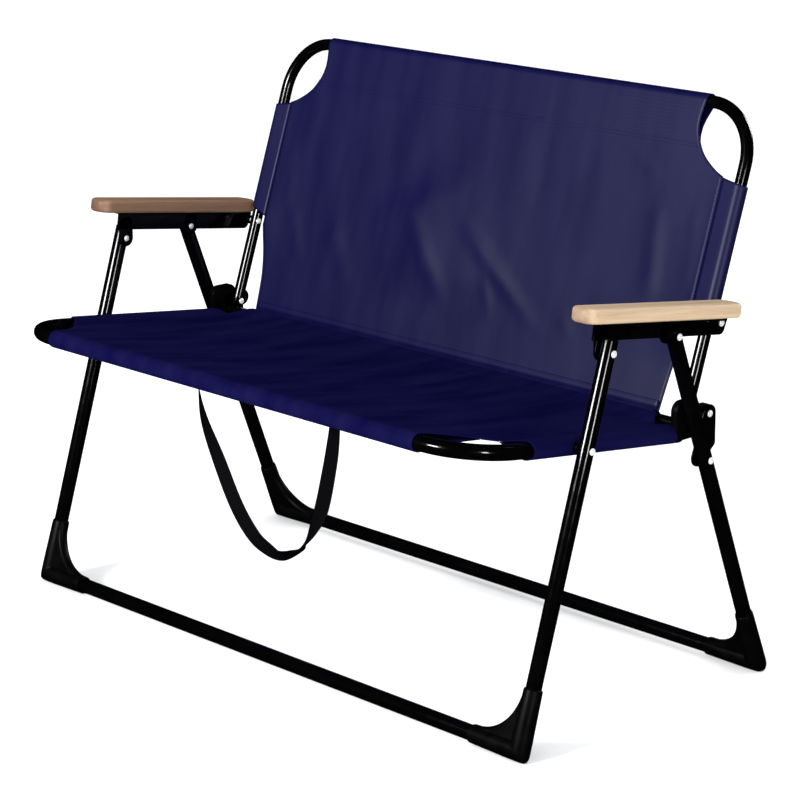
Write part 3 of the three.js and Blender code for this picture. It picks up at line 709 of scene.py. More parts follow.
def rivet_shape(node, inner_head):
    """A rivet across the chair inside its node's box: dome, shank and a second dome at its inner end."""
    low, high = node_box(node)
    length = high[0] - low[0]
    along, wide = dome(head_tall, head_radius)
    tail_share = inner_head_share if inner_head else plain_end_share
    tail_along, tail_wide = dome(head_tall, head_radius * tail_share)
    neck = np.array([under_head, under_head])
    distance = np.concatenate([along, neck, length - neck, length - tail_along[::-1]])
    shank = [wide[-1], shank_radius, shank_radius, tail_wide[-1]]
    radius = np.concatenate([wide, shank, tail_wide[::-1]])
    start = at_side(high[0], node_middle(node)[1:])
    return turned(start, (-1.0, 0, 0), distance, radius, 28)


rivets = (
    ("link_low_rivet", "rear_legs", True),
    ("link_top_rivet", "side_links", False),
    ("front_arm_rivet", "armrests", True),
    ("rear_arm_rivet", "armrests", True),
    ("back_arm_rivet", "armrests", True),
    ("seat_front_rivet", "seat", False),
    ("seat_rear_rivet", "seat", True),
)
for node, body, inner_head in rivets:
    shape = rivet_shape(node + "_left", inner_head)
    make_pair(node + "_turned", shape, zinc_painted_reflection, body, node)
print(2 * len(rivets), "rivets with heads", 2 * head_radius, "m across")

# %% Plugs, spacers and screws
plug_tall = 0.003
plug_lip = plug_tall + 0.0002
plug_depth = 0.018
plug_core = 0.0095
bush_radius = 0.007
bush_edge = 0.0008
screw_tall = 0.0018
screw_head = 0.0045
screw_neck = 0.0019
screw_depth = 0.015
screw_core = 0.0015

for name, foot, pin, up in leg_runs:
    along, wide = dome(plug_tall, leg_radius)
    tip = at_side(leg_x, pin + (top_overrun[name] + plug_tall) * up)
    along = np.concatenate([along, [plug_lip, plug_lip, plug_depth]])
    wide = np.concatenate([wide, [leg_radius, plug_core, plug_core]])
    plug = turned(tip, -at_side(0.0, up), along, wide)
    make_pair(name + "_plug", plug, plastic, name + "_legs", name + "_leg_cap")

for node in ("back_arm_spacer", "seat_front_spacer"):
    low, high = node_box(node + "_left")
    along, wide = round_ends(high[0] - low[0], bush_radius, bush_edge)
    bush = turned(at_side(low[0], node_middle(node + "_left")[1:]), (1.0, 0, 0), along, wide)
    body = frame["nodes"][node + "_left"]["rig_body"]
    make_pair(node + "_bush", bush, plastic, body, node)

for node in ("arm_screw_front", "arm_screw_rear"):
    tip = node_middle(node + "_left")
    tip[2] = node_box(node + "_left")[0][2]
    along, wide = dome(screw_tall, screw_head)
    along = np.concatenate([along, [screw_neck, screw_depth]])
    wide = np.concatenate([wide, [screw_core, screw_core]])
    screw = turned(tip, at_side(0.0, arm_up), along, wide, 20)
    make_pair(node + "_turned", screw, zinc_painted_reflection, "armrests", node)
print("plugs, bushes and screws are turned")

# %% [markdown]
# ## Plates
# The arm brackets, side links and hinge blocks are flat parts with rounded outlines. An outline could
# be drawn point by point. Here it is the tight band round a few circles: in every direction, the circle
# that reaches furthest gives the outline's point. That direction is also the outline's normal, so a
# bevel is a small step back along it.

# %% Plate function and side links
def plate(circles, inner, outer, bevel=0.0006):
    """The band round circles (y, z, radius), from x = inner to outer, with quarter-round edges of size
    bevel."""
    circles = np.asarray(circles, float)
    angle = np.linspace(0, full_turn, 120, endpoint=False)
    away = stacked(np.cos(angle), np.sin(angle))
    furthest = np.argmax(circles[:, :2] @ away.T + circles[:, 2:], axis=0)
    outline = circles[furthest, :2] + circles[furthest, 2:] * away
    along, back = round_ends(outer - inner, bevel, bevel, 4)
    flat = outline[None] - (bevel - back)[:, None, None] * away[None]
    return closed_skin(stacked((inner + along)[:, None], flat[..., 0], flat[..., 1]))


eye_radius = 0.013
flange_in, flange_out = node_box("side_link_left")[0][0], node_box("side_link_left")[1][0]
link_bulge = (link_top_pin[0] + eye_radius / 2, link_low_pin[1] + 1.25 * eye_radius, eye_radius / 2)
link_circles = [(*link_top_pin, eye_radius), (*link_low_pin, eye_radius), link_bulge]
link = plate(link_circles, flange_in, flange_out)
make_pair("side_link_plate", link, paint, "side_links", "side_link")
print("side links", round(flange_out - flange_in, 4), "m thick")

# %% Arm brackets
joint_gap = 0.0003
arm_low, arm_high = node_box("arm_wood_left")
bracket_low, bracket_high = node_box("arm_bracket_left")
arm_length = 0.317
arm_wide = arm_high[0] - arm_low[0]
arm_thick = 0.020
arm_start = np.array([arm_low[1], arm_high[2] - arm_thick * math.cos(arm_tilt)])
flange_tall = 0.027
flange_front = bracket_low[1] - arm_start[0]
flange_rear = bracket_high[1] - arm_start[0]
ledge_rear = flange_rear - 0.030
ledge_round = (flange_out - flange_in) / 2
front_round = 0.003
tail_round = 0.010
tail_inset = 0.014
lobe_rise = 0.022
eye_rise = 0.010


def under_arm(along, down, radius):
    """A circle under the arm: along it from its front end, and down from its underside."""
    place = arm_start + along / math.cos(arm_tilt) * arm_back - (down + joint_gap) * arm_up
    return (*place, radius)


def standing_eye(pin, rise):
    """An eye round a pin and a second one above it, so that the plate runs up to the flange."""
    return [(*pin, eye_radius), (pin[0], pin[1] + rise, eye_radius)]


strip = [
    under_arm(flange_front + front_round, front_round, front_round),
    under_arm(flange_rear - front_round, front_round, front_round),
    under_arm(flange_front + front_round, flange_tall - front_round, front_round),
    under_arm(flange_rear - tail_inset, flange_tall - tail_round, tail_round),
]
ledge = [
    under_arm(flange_front + ledge_round, ledge_round, ledge_round),
    under_arm(ledge_rear - ledge_round, ledge_round, ledge_round),
]
bracket = joined(
    plate(strip, flange_in, flange_out),
    plate(standing_eye(front_arm_pin, lobe_rise), flange_in, flange_out),
    plate(standing_eye(rear_arm_pin, eye_rise), flange_in, flange_out),
    plate(ledge, bracket_low[0], bracket_high[0]),
)
make_pair("arm_bracket_steel", bracket, paint, "armrests", "arm_bracket")
print("brackets", round(flange_rear - flange_front, 3), "m long")

# %% Hinge blocks
link_room = 0.0030
block_edge = 0.0018
cheek_radius = 0.015
cheek_front, cheek_rear = 0.0285, 0.0095
cheek_above, cheek_below = 0.011, -0.015
boss_radius = 0.011
boss_nudge = 0.0001
collar_rear = seat_tail + 0.005
collar_front = 0.207
collar_wall = 0.0022
block_in, block_out = back_x + back_radius + joint_gap, flange_in - link_room
hinge_y, hinge_z = seat_rear_pin
cheek = [
    (hinge_y - forward, hinge_z + rise, cheek_radius)
    for forward in (cheek_front, cheek_rear)
    for rise in (cheek_above, cheek_below)
]
lug = [(hinge_y - cheek_rear, hinge_z, eye_radius), (*link_top_pin, eye_radius)]
boss = [(*link_top_pin, boss_radius), (link_top_pin[0] + boss_nudge, link_top_pin[1], boss_radius)]
collar_start = at_side(seat_x, seat_front_pin - collar_rear * seat_forward)
collar_end = at_side(seat_x, seat_front_pin - collar_front * seat_forward)
block = joined(
    plate(cheek, block_in, block_out, block_edge),
    plate(lug, block_in, block_out, block_edge),
    plate(boss, block_out - 0.001, flange_in - joint_gap, joint_gap),
    rod(collar_start, collar_end, seat_radius + collar_wall, 0.0015),
)
make_pair("hinge_block_moulded", block, plastic, "seat", "seat_hinge_block")
print("hinge blocks", round(block_out - block_in, 4), "m thick")

# %% [markdown]
# ## Wooden arms
# Each arm is a plain board with softened corners and edges. A cube with a bevel would do, but its
# corners would all bevel alike. The outline is a rectangle with round corners, carried up through the
# board while its edge is drawn in by a quarter circle at the top and the bottom. The grain runs along
# the board.

# %% Arm boards
arm_corner = 0.0185
arm_edge = 0.0050


def board(length, wide, thick, corner, edge):
    """Rings of a round-cornered rectangle, drawn in at the faces: how far across, along and up the
    board."""
    steps = 12
    quarter = np.linspace(0, quarter_turn, steps)
    half = wide / 2
    centres = [(half - corner, length - corner), (corner - half, length - corner)]
    centres += [(corner - half, corner), (half - corner, corner)]
    angle = np.concatenate([quarter + k * quarter_turn for k in range(4)])
    centre = np.repeat(np.array(centres), steps, axis=0)
    rise, reach = round_ends(thick, corner, edge, 6)
    plan = centre[None] + reach[:, None, None] * stacked(np.cos(angle), np.sin(angle))[None]
    return plan[..., 0], plan[..., 1], rise[:, None]


aside, along, up = board(arm_length, arm_wide, arm_thick, arm_corner, arm_edge)
arm_middle_x = node_middle("arm_wood_left")[0]
arm_board = closed_skin(side_points(arm_start, arm_back, arm_middle_x + aside, along, up))
make_pair("arm_board", arm_board, (pale_wood, far_wood_painted_shade), "armrests", "arm_wood")
print("arms", arm_length, "by", round(arm_wide, 3), "m")

# %% [markdown]
# ## Canvas with sleeves
# Back and seat are flat panels whose edges are folded round the tubes and sewn down. A cloth simulation
# could hang them, but tight canvas barely sags, and the sleeves would need many pins. The panel is a
# grid with a little sag, soft ripples and a few long folds. A sleeve's cross-section leaves the seam,
# touches the tube, goes round it and comes back: a drop shape. Solidify then gives the cloth its
# thickness.

# %% Cuts and sleeve sections
cloth_thick = 0.0011
seam_lift = 0.0085
seam_gap = 0.0012
sleeve_slack = 0.0017
half_way = 0.2
across = np.linspace(-1, 1, 181)[None, :]


def through(points, count=160):
    """A smooth curve through points in the plane, sampled evenly in its parameter."""
    points = np.asarray(points, float)
    padded = np.concatenate([2 * points[:1] - points[1:2], points, 2 * points[-1:] - points[-2:-1]])
    place = np.linspace(0, len(points) - 1 - 1e-9, count)
    k = place.astype(int)
    t = (place - k)[:, None]
    a, b, c, d = (padded[k + i] for i in range(4))
    return b + 0.5 * t * (c - a + t * (2 * a - 5 * b + 4 * c - d + t * (3 * (b - c) + d - a)))


def width_at(curve, place):
    """The first coordinate of a curve where its second one, which only grows, reaches a place."""
    return np.interp(place, np.maximum.accumulate(curve[:, 1]), curve[:, 0])


def free_edge(s, near_cut, far_cut, seam_x):
    """Half the width of a canvas: one corner cut before half way, the other after it, at most to the
    seam."""
    return np.minimum(np.where(s < half_way, width_at(near_cut, s), width_at(far_cut, s)), seam_x)


def drop_loop(seam, centre, radius):
    """A drop-shaped loop: from the seam straight to the tube, round it and back to a gap behind the
    seam."""
    seam, centre = np.broadcast_arrays(np.asarray(seam, float), np.asarray(centre, float))
    offset = seam - centre
    distance = np.linalg.norm(offset, axis=-1)
    base = np.arctan2(offset[..., 1], offset[..., 0])
    open_angle = np.arccos(radius / distance)
    hand = -np.sign(offset[..., 0])
    share = np.linspace(0, 1, 33)
    start = base + hand * -open_angle
    angle = start[..., None] - hand[..., None] * share * (full_turn - 2 * open_angle)[..., None]
    arc = centre[..., None, :] + radius * stacked(np.cos(angle), np.sin(angle))
    last = seam - np.array([0.0, seam_gap])
    lead = np.linspace(0, 1, 6)[:-1, None]
    run_out = seam[..., None, :] * (1 - lead) + arc[..., :1, :] * lead
    run_back = (last[..., None, :] * (1 - lead) + arc[..., -1:, :] * lead)[..., ::-1, :]
    return np.concatenate([run_out, arc, run_back], axis=-2)


# %% Ripples and folds
ripple_tall = 0.0004


def ripple(x, s):
    """Soft ripples that run up the cloth: a few waves across it whose phase drifts along it."""
    waves = np.sin(full_turn * (x / 0.31 + 0.35 * np.sin(3.1 * s)))
    waves = waves + 0.6 * np.sin(full_turn * (x / 0.17 - 0.8 * s) + 1.3)
    return ripple_tall * (waves + 0.3 * np.sin(full_turn * (x / 0.083 + 0.9 * s) + 0.4))


def soft_folds(x, s, folds):
    """Long low ridges: height exp(-(d / width)^2), d from the line, fading out past its ends (x, s) to
    (x, s)."""
    total = np.zeros(np.broadcast(x, s).shape)
    for x_one, s_one, x_two, s_two, width, tall in folds:
        length = math.hypot(x_two - x_one, s_two - s_one)
        along = ((x - x_one) * (x_two - x_one) + (s - s_one) * (s_two - s_one)) / length
        aside = ((x - x_one) * (s_two - s_one) - (s - s_one) * (x_two - x_one)) / length
        past = np.maximum(np.abs(along - length / 2) - length / 3, 0) / (length / 3)
        total = total + tall * np.exp(-(aside / width) ** 2) * np.exp(-2.0 * past ** 2)
    return total


# %% Panels and sleeves as grids
def panel_grid(place, level, edge, rows):
    """The free panel: x is across times the edge, lifted by level; its UV is x and the row."""
    x = across * edge(rows)
    return place(x, rows, level(x, rows)), stacked(x, rows)


def bar_sleeve(place, level, edge, seam, bar, radius, run, limit):
    """The sleeve over a bar across the chair: a drop loop at every x; run is its flat length from the
    seam."""
    seam_x = across[0] * edge(seam)
    loop = drop_loop(stacked(seam, level(seam_x, seam)), (bar, 0.0), radius)
    along, lift = loop[..., 0].T, loop[..., 1].T
    x = across * edge(np.clip(along, 0.0, limit))
    flat = np.linspace(seam, seam + run, len(along))[:, None]
    return place(x, along, lift), stacked(x, flat)


def side_sleeves(place, loop, along, lift, run):
    """The sleeves over both side tubes: one drop loop carried along the tube; run is its flat width."""
    x = loop[None, :, 0]
    flat = x[0, 0] + np.linspace(0, run, len(loop))[None, :]
    return [(place(hand * x, along, lift), stacked(flat, along)) for hand in (1.0, -1.0)]


def canvas_piece(name, grids, finish, body, nodes, thick=cloth_thick):
    """One canvas from open grids with their UVs; Solidify puts half of its thickness on each side."""
    shapes = [(grid.reshape(-1, 3), grid_faces(*grid.shape[:2], False)) for grid, _ in grids]
    uv = np.concatenate([flat.reshape(-1, 2) for _, flat in grids])
    piece = make_piece(name, joined(*shapes), finish, body, nodes, uv, cloth_crease)
    wall = piece.modifiers.new("cloth_thickness", "SOLIDIFY")
    wall.thickness = thick
    wall.offset = 0.0
    print(name + ":", len(piece.data.polygons), "faces")
    return piece


# %% [markdown]
# ### The back canvas
# The back's canvas has sleeves over the top tube and both side tubes, and its corners are cut out in
# curves. A few long folds pull across it where people lean. Each could be sculpted by hand, but then the
# seams would move with it. Here the cuts are smooth curves through a few points, and each fold is a line
# with a width and a height, so a fold can be moved without touching the seams.

# %% Cut of the back canvas
back_sleeve = back_radius + sleeve_slack
back_seam_s = 0.371
back_seam_x = back_x - 0.027
back_low_s = -0.008
back_low_half = back_x - 0.044
side_low = 0.1411
side_high = back_reach - 0.107
back_low_cut = through([
    (back_low_half - 0.0045, back_low_s), (back_low_half - 0.0015, 0.030),
    (back_low_half + 0.0015, 0.056), (back_low_half + 0.0065, 0.087),
    (back_low_half + 0.0125, 0.112), (back_low_half + 0.0185, 0.136),
])
back_high_cut = through([
    (back_x + 0.020, side_high - 0.003), (back_x, side_high), (back_x - 0.023, side_high + 0.004),
    (back_x - 0.046, side_high + 0.014), (back_x - 0.070, side_high + 0.032),
    (back_x - 0.084, side_high + 0.054), (back_x - 0.089, side_high + 0.076),
    (back_x - 0.085, back_reach),
])


def back_edge(s):
    """Half the width of the back canvas at a height along the back."""
    return free_edge(s, back_low_cut, back_high_cut, back_seam_x)


def on_back(x, s, n):
    """Points x, s up the back and n out of it towards the sitter."""
    return side_points(seat_rear_pin, back_up, x, s, n)


print("back canvas cut:", round(2 * back_seam_x, 3), "m between its side seams")

# %% Shape of the back canvas
back_side_fade = 0.080
back_top_fade = 0.120
back_sag = 0.0075
foot_start = 0.040
foot_fade = side_low - 0.041
# Each fold: x and s of its first end, x and s of its last end, its width and its height.
back_folds = (
    (-0.125, 0.225, -0.050, 0.065, 0.095, 0.0080),
    (0.004, 0.180, 0.198, 0.038, 0.015, 0.0030),
    (-0.127, 0.196, -0.016, 0.052, 0.018, 0.0028),
    (0.052, 0.110, 0.096, 0.010, 0.011, 0.0020),
    (0.218, 0.085, 0.267, 0.010, 0.013, 0.0023),
    (-0.425, 0.250, -0.410, 0.172, 0.014, 0.0018),
    (-0.391, 0.158, -0.359, 0.088, 0.014, 0.0023),
    (-0.290, 0.150, -0.240, 0.050, 0.018, 0.0023),
    (0.347, 0.265, 0.368, 0.156, 0.016, 0.0020),
    (0.420, 0.275, 0.432, 0.175, 0.013, 0.0017),
    (0.254, 0.363, 0.333, 0.315, 0.012, 0.0014),
)


def back_level(x, s):
    """How far the panel stands before the tubes' plane: most at the seams, less in the middle, none at
    the foot."""
    from_side = np.clip(back_seam_x - np.abs(x), 0, None)
    from_top = np.clip(back_seam_s - s, 0, None)
    sunk = (1 - np.exp(-from_side / back_side_fade)) * (1 - np.exp(-from_top / back_top_fade))
    low = np.clip((s - foot_start) / foot_fade, 0, 1)
    ease = low * low * (3 - 2 * low)
    return ease * (seam_lift - back_sag * sunk + (ripple(x, s) + soft_folds(x, s, back_folds)) * sunk)


print("back folds:", len(back_folds), "up to", max(fold[-1] for fold in back_folds), "m tall")

# %% Sew the back canvas
back_top_run = 0.155
back_side_run = 0.085
sleeve_foot_rise = 0.014
up_rows = np.linspace(back_low_s, back_seam_s, 150)[:, None]
back_ways = (on_back, back_level, back_edge)
side_loop = drop_loop((back_seam_x, seam_lift), (back_x, 0.0), back_sleeve)
corner_part = back_high_cut[:100]
top_line = np.interp(-side_loop[:, 0], -corner_part[:, 0], corner_part[:, 1])[None, :]
out_share = (side_loop[None, :, 0] - back_seam_x) / (back_x + back_sleeve - back_seam_x)
low_line = side_low + sleeve_foot_rise * out_share
side_s = low_line + np.linspace(0, 1, 60)[:, None] * (top_line - low_line)
back_grids = [
    panel_grid(*back_ways, up_rows),
    bar_sleeve(*back_ways, back_seam_s, back_reach, back_sleeve, back_top_run, back_reach),
    *side_sleeves(on_back, side_loop, side_s, side_loop[None, :, 1], back_side_run),
]
back_canvas = canvas_piece("back_canvas", back_grids, canvas, "backrest", ["back_sling"])

# %% [markdown]
# ### The seat canvas
# The seat hangs between the front bow, both side tubes and a bar at the rear, with a sleeve on each. The
# rear bar lies lower than the side tubes, so the seat isn't flat. A flat panel would leave gaps at the
# sides. The height is mixed here: near each tube it follows that tube, and the share of each fades with
# the distance.

# %% Cut of the seat canvas
seat_sleeve = seat_radius + sleeve_slack
rear_sleeve = rear_bar_radius + sleeve_slack
seat_back = unit(seat_rear_bar - seat_front_bar)
seat_rise = upright(seat_back)
seat_depth = float(np.linalg.norm(seat_rear_bar - seat_front_bar))
tube_fall = float(-seat_forward @ seat_rise / (-seat_forward @ seat_back))
front_seam = 0.068
rear_seam = seat_depth - 0.030
seat_seam_x = seat_x - 0.0295
seat_front_half = seat_x - seat_bend - 0.0075
side_front = 0.103
side_rear = seat_reach + 0.205
seat_front_cut = through([
    (seat_front_half, 0.0), (seat_front_half + 0.004, 0.016), (seat_front_half + 0.014, 0.036),
    (seat_front_half + 0.034, 0.059), (seat_front_half + 0.058, 0.079),
    (seat_x - 0.016, side_front - 0.009), (seat_x, side_front), (seat_x + 0.020, side_front + 0.006),
])
seat_rear_cut = through([
    (seat_x, 0.384), (seat_seam_x + 0.004, 0.390), (back_low_half + 0.016, 0.398),
    (back_low_half + 0.008, 0.407), (back_low_half, seat_depth),
])


def seat_edge(q):
    """Half the width of the seat canvas at a distance behind the front bar."""
    return free_edge(q, seat_front_cut, seat_rear_cut, seat_seam_x)


def on_seat(x, q, h):
    """Points x, q behind the front bar and h above the seat's plane."""
    return side_points(seat_front_bar, seat_back, x, q, h)


print("seat canvas cut:", round(seat_depth, 3), "m from bar to bar")

# %% Shape of the seat canvas
seat_side_fade = 0.060
seat_end_fade = 0.110
seat_sag = 0.0020
rear_lift = 0.0060


def seat_level(x, q):
    """Height of the panel over the plane of its two bars: it leaves every tube along the top and sags
    between."""
    side = np.exp(-np.clip(seat_seam_x - np.abs(x), 0, None) / seat_side_fade)
    front = np.exp(-np.clip(q - front_seam, 0, None) / seat_end_fade)
    rear = np.exp(-np.clip(rear_seam - q, 0, None) / seat_end_fade)
    inner = seam_lift * front + rear_lift * rear * (1 - front) - seat_sag * (1 - front) * (1 - rear)
    folds = ripple(x, q) * (1 - front) * (1 - rear)
    return side * (seam_lift + tube_fall * q) + (1 - side) * (inner + folds)


# %% Sew the seat canvas
seat_front_run = -0.175
seat_rear_run = 0.095
seat_side_run = 0.100
back_rows = np.linspace(front_seam, rear_seam, 130)[:, None]
seat_ways = (on_seat, seat_level, seat_edge)
side_loop = drop_loop((seat_seam_x, seam_lift), (seat_x, 0.0), seat_sleeve)
front_line = np.interp(side_loop[:, 0], seat_front_cut[:, 0], seat_front_cut[:, 1])[None, :]
side_q = front_line + np.linspace(0, 1, 70)[:, None] * (side_rear - front_line)
side_h = side_loop[None, :, 1] + tube_fall * side_q
seat_grids = [
    panel_grid(*seat_ways, back_rows),
    bar_sleeve(*seat_ways, front_seam, 0.0, seat_sleeve, seat_front_run, seat_depth),
    bar_sleeve(*seat_ways, rear_seam, seat_depth, rear_sleeve, seat_rear_run, seat_depth),
    *side_sleeves(on_seat, side_loop, side_q, side_h, seat_side_run),
]
seat_canvas = canvas_piece("seat_canvas", seat_grids, dull_canvas_painted_sheen, "seat", ["seat_sling"])

# %% [markdown]
# ## The valley between back and seat
# Behind the sitter, a short strip of canvas joins the back to the seat, so nothing falls through. It
# bends each time the chair folds. It is one small grid. It is one small grid, and the frame's blend lets
# one end follow the
# back and the other the seat.

# %% Valley strip
valley_rows = 28
valley_thick = cloth_thick * 0.8
valley_cut = through([
    tuple(seat_rear_pin + 0.007 * back_up + 0.0013 * back_facing),
    tuple(seat_rear_pin - 0.001 * back_up + 0.0020 * back_facing),
    tuple(seat_rear_bar + 0.0108 * unit(0.55 * seat_rise + 0.85 * seat_back)),
    tuple(seat_rear_bar + 0.0106 * unit(0.95 * seat_rise + 0.30 * seat_back)),
    tuple(seat_rear_bar + 0.0106 * unit(seat_rise - 0.10 * seat_back)),
], valley_rows)
valley_half = back_low_half - 0.005
valley_x = np.linspace(-valley_half, valley_half, 121)[None, :]
valley_grid = stacked(valley_x, valley_cut[:, :1], valley_cut[:, 1:])
valley_uv = stacked(valley_x, np.linspace(0, 0.0305, valley_rows)[:, None])
valley = canvas_piece("valley_canvas", [(valley_grid, valley_uv)], canvas, None, (), valley_thick)
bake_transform(valley)
valley_length = float(np.linalg.norm(np.diff(valley_cut, axis=0), axis=1).sum())
print("valley strip", round(2 * valley_half, 3), "m wide and", round(valley_length, 4), "m long")

# %% [markdown]
# ## Hems and stitches
# Where the canvas is cut free at the corners, its edge is turned over into a small roll, and every
# sleeve is sewn down with rows of thread. A texture could draw the stitches, but little raised stitches
# catch the light like real ones. Each is a tiny spindle with a few faces, and all of them on one cloth
# are worked out in one array for each row.

# %% Hems
hem_radius = 0.0012


def hem_pair(line, place, level, normal, finish, name, body):
    """A thin roll along one free edge of the cloth, on both sides of the chair, as one piece."""
    edge = place(line[:, 0], line[:, 1], level(line[:, 0], line[:, 1]))
    one = closed_skin(swept(edge, at_side(0.0, normal), np.full(len(edge), hem_radius), 10))
    return make_piece(name, joined(one, mirrored(one)), finish, body, ())


corner = (back_high_cut[:, 0] < back_seam_x) & (back_high_cut[:, 1] < back_seam_s)
back_hem = hem_pair(
    back_high_cut[corner], on_back, back_level, back_facing, canvas, "back_corner_hem", "backrest"
)
low_edge = back_low_cut[:, 0] < back_seam_x
back_low_hem = hem_pair(
    back_low_cut[low_edge], on_back, back_level, back_facing, canvas, "back_low_hem", "backrest"
)
corner = (seat_front_cut[:, 0] < seat_seam_x) & (seat_front_cut[:, 1] > front_seam)
seat_hem = hem_pair(
    seat_front_cut[corner], on_seat, seat_level, seat_rise, dull_canvas_painted_sheen, "seat_corner_hem", "seat"
)
print("hems:", back_hem.name, back_low_hem.name, seat_hem.name)

# %% Stitch functions
stitch_pitch = 0.0046
stitch_long = 0.0034
stitch_wide = 0.0003
stitch_height = 0.00048
stitch_faces = grid_faces(4, 5, True) + [[4, 3, 2, 1, 0], [15, 16, 17, 18, 19]]
row_inset = 0.006
side_insets = (0.0030, 0.0080)


def stitches(path, normal):
    """Spindles along a path: centre + t tangent + r(t) (cos a side + sin a normal), one every
    stitch_pitch."""
    run = np.concatenate([[0], np.cumsum(np.linalg.norm(np.diff(path, axis=0), axis=1))])
    spots = np.arange(stitch_pitch / 2, run[-1], stitch_pitch)
    centre = np.stack([np.interp(spots, run, path[:, i]) for i in range(3)], -1)
    ahead = np.stack([np.interp(spots + 1e-4, run, path[:, i]) for i in range(3)], -1)
    tangent = unit(ahead - centre)
    side = np.cross(tangent, normal)
    t = np.array([-0.5, -0.28, 0.28, 0.5]) * stitch_long
    r = np.array([0.35, 1.0, 1.0, 0.35]) * stitch_wide
    angle = np.linspace(0, full_turn, 5, endpoint=False)
    ring = np.cos(angle)[:, None] * side[:, None, None, :] + np.sin(angle)[:, None] * normal
    points = centre[:, None, None] + t[:, None, None] * tangent[:, None, None] + r[:, None, None] * ring
    faces = [[i + 20 * k for i in face] for k in range(len(spots)) for face in stitch_faces]
    return points.reshape(-1, 3), faces


def sew(name, place, level, edge, normal, levels, seam_x, start, length, body):
    """Stitches on both faces of a cloth: a row across it at each level, two rows beside each side
    seam."""
    lines = [(np.linspace(-1, 1, 200) * (edge(s) - row_inset), np.full(200, s)) for s in levels]
    beside = start + np.linspace(0, 1, 40) * length
    for hand in (1.0, -1.0):
        lines += [(np.full(40, hand * (seam_x - inset)), beside) for inset in side_insets]
    out = at_side(0.0, normal)
    made = [
        stitches(place(x, s, level(x, s) + face * stitch_height), out)
        for x, s in lines
        for face in (1.0, -1.0)
    ]
    shape = joined(*made)
    make_piece(name, shape, thread, body)
    print(name + ":", len(shape[1]) // len(stitch_faces))


# %% Stitches on the back and the seat
back_levels = (0.3675, 0.3625)
back_sewn = (side_low + 0.003, 0.320 - side_low)
sew("back_stitches", *back_ways, back_facing, back_levels, back_seam_x, *back_sewn, "backrest")
seat_levels = (0.0715, 0.0765, rear_seam - 0.0035)
seat_sewn = (side_front + 0.002, side_rear - 0.012 - side_front)
sew("seat_stitches", *seat_ways, seat_rise, seat_levels, seat_seam_x, *seat_sewn, "seat")

# %% [markdown]
# ## Carry strap
# A length of webbing hangs in a loop under the front of the seat. It turns as it hangs: edge-on where
# it leaves the seat, broad in the middle, with one twist near its lowest point. A curve with tilt could
# do this too. Here the strap is a thin rounded section carried along a smooth line, and its turn is one
# more function of the length.

# %% Line and turn of the strap
strap_wide = 0.025
strap_thick = 0.0016
strap_steps = 220
strap_line = through([
    (-0.1420, 0.4155), (-0.1395, 0.3839), (-0.1285, 0.3390), (-0.0982, 0.2853), (-0.0623, 0.2266),
    (-0.0275, 0.1900), (0.0030, 0.1755), (0.0347, 0.1725), (0.0680, 0.1865), (0.0830, 0.1985),
    (0.1060, 0.2300), (0.1242, 0.2638), (0.1445, 0.3365), (0.1537, 0.3873), (0.1570, 0.4190),
], strap_steps)
strap_path = stacked(strap_line[:, 0], strap_pin[0], strap_line[:, 1])
# Degrees of turn at even steps along the strap; zero is broadside to the camera's line of sight.
strap_turns = np.radians([88, 84, 60, 38, 34, 36, 40, 48, 68, 90, 128, 146, 142, 128, 122])
smooth_turn = through(stacked(np.linspace(0, 1, len(strap_turns)), strap_turns), strap_steps)
turn = np.interp(np.linspace(0, 1, strap_steps), smooth_turn[:, 0], smooth_turn[:, 1])[:, None]
strap_length = float(np.linalg.norm(np.diff(strap_path, axis=0), axis=1).sum())
print("strap", round(strap_length, 3), "m long")

# %% Strap ribbon
tangent = unit(np.gradient(strap_path, axis=0))
sight = np.array(camera_back)
facing = unit(sight - (tangent @ sight)[:, None] * tangent)
broad = np.cos(turn) * np.cross(facing, tangent) + np.sin(turn) * facing
deep = np.cross(tangent, broad)
angle = np.linspace(0, full_turn, 24, endpoint=False)
section_x = strap_wide / 2 * np.sign(np.cos(angle)) * np.abs(np.cos(angle)) ** 0.35
section_y = strap_thick / 2 * np.sign(np.sin(angle)) * np.abs(np.sin(angle)) ** 0.6
strap_rings = strap_path[:, None] + section_x[:, None] * broad[:, None]
strap_rings = strap_rings + section_y[:, None] * deep[:, None]
strap_uv = stacked(section_x[None, :], np.linspace(0, strap_length, strap_steps)[:, None]).reshape(-1, 2)
strap = make_piece(
    "carry_webbing", closed_skin(strap_rings), webbing, "carry_strap", ["carry_strap"],
    strap_uv, cloth_crease,
)
print("strap ribbon:", len(strap.data.polygons), "faces")

# %% [markdown]
# ## What is soft
# The soft pieces are the back and seat canvases, the valley strip and the strap.

print("four soft pieces: back, seat, valley and strap")

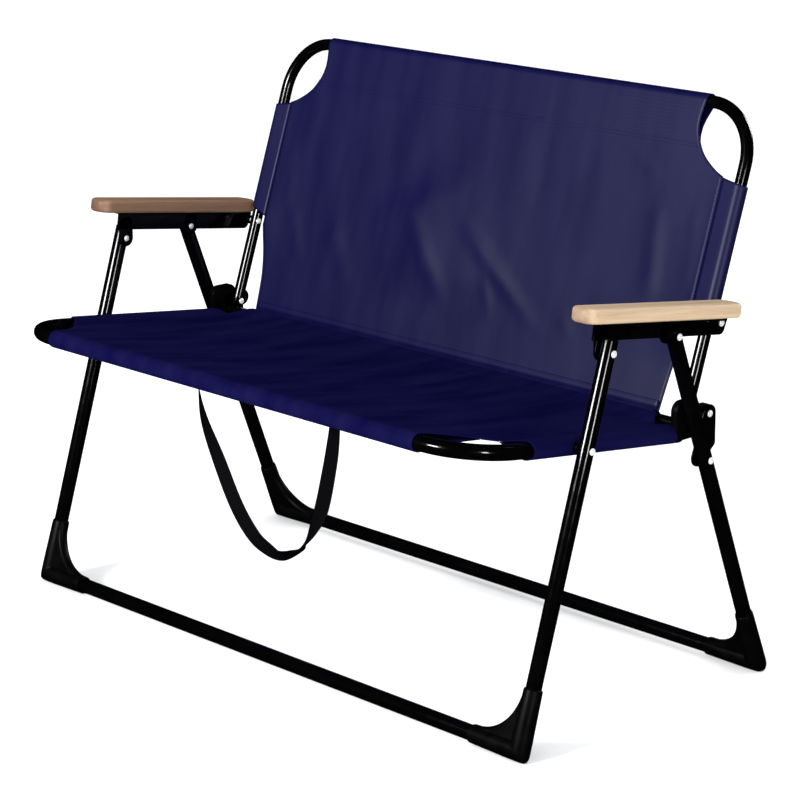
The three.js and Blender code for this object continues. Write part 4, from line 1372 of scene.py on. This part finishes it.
# %% [markdown]
# ## Studio
# The floor is a pale disc large enough to fill the picture behind the chair. White all around would make
# the black tubes grey, so a studio hangs black cloth where the camera doesn't look. Here the floor and
# the surroundings light the chair but stay out of its mirror images. Three lamps, in front, at the side
# and behind, draw single bright lines on the tubes and a sheen on the folds.

# %% Floor
floor_radius = 18
floor_level = -0.0004
floor_finish, shader = new_finish("pale_floor", Specular_IOR_Level=0.0)
mottle = even_noise(floor_finish, 3)
whites = tint(mottle, 0.3, (0.93, 0.93, 0.93), 0.7, (0.95, 0.95, 0.95))
cover(shader, whites, spread(mottle, 0.3, 0.7, 0.7, 0.8))
ring = np.linspace(0, floor_radius, 40)[:, None]
angle = np.linspace(0, full_turn, 96, endpoint=False)[None, :]
floor_grid = stacked(ring * np.cos(angle), ring * np.sin(angle), floor_level)
floor_shape = (floor_grid.reshape(-1, 3), grid_faces(*floor_grid.shape[:2], True))
floor = make_piece("studio_floor", floor_shape, floor_finish, None)
floor.visible_glossy = False
print("floor", 2 * floor_radius, "m across")


# %% Lamps and surroundings
def soft_light(name, place, target, size, power):
    """A rectangular light of this size, aimed from place at target."""
    lamp = bpy.data.lights.new(name, "AREA")
    lamp.shape = "RECTANGLE"
    lamp.size, lamp.size_y = size
    lamp.energy = power
    holder = bpy.data.objects.new(name, lamp)
    holder.location = place
    holder.rotation_mode = "QUATERNION"
    holder.rotation_quaternion = (Vector(target) - Vector(place)).to_track_quat("-Z", "Y")
    bpy.context.scene.collection.objects.link(holder)


chair_middle = (0, 0, 0.45)
soft_light("front_lamp", (-0.5, -3.6, 1.88), chair_middle, (1.2, 0.7), 190)
soft_light("side_lamp", (3.4, -1.23, 1.10), chair_middle, (0.5, 0.7), 46)
soft_light("back_lamp", (0.4, 3.8, 1.8), chair_middle, (0.8, 1.3), 60)
studio = bpy.data.worlds.new("pale_studio")
bpy.context.scene.world = studio
studio.use_nodes = True
background = studio.node_tree.nodes["Background"]
background.inputs["Color"].default_value = (0.98, 0.99, 1.0, 1)
background.inputs["Strength"].default_value = 1.11
studio.cycles_visibility.glossy = False
bpy.context.scene.view_settings.view_transform = "Standard"
print("studio is lit")
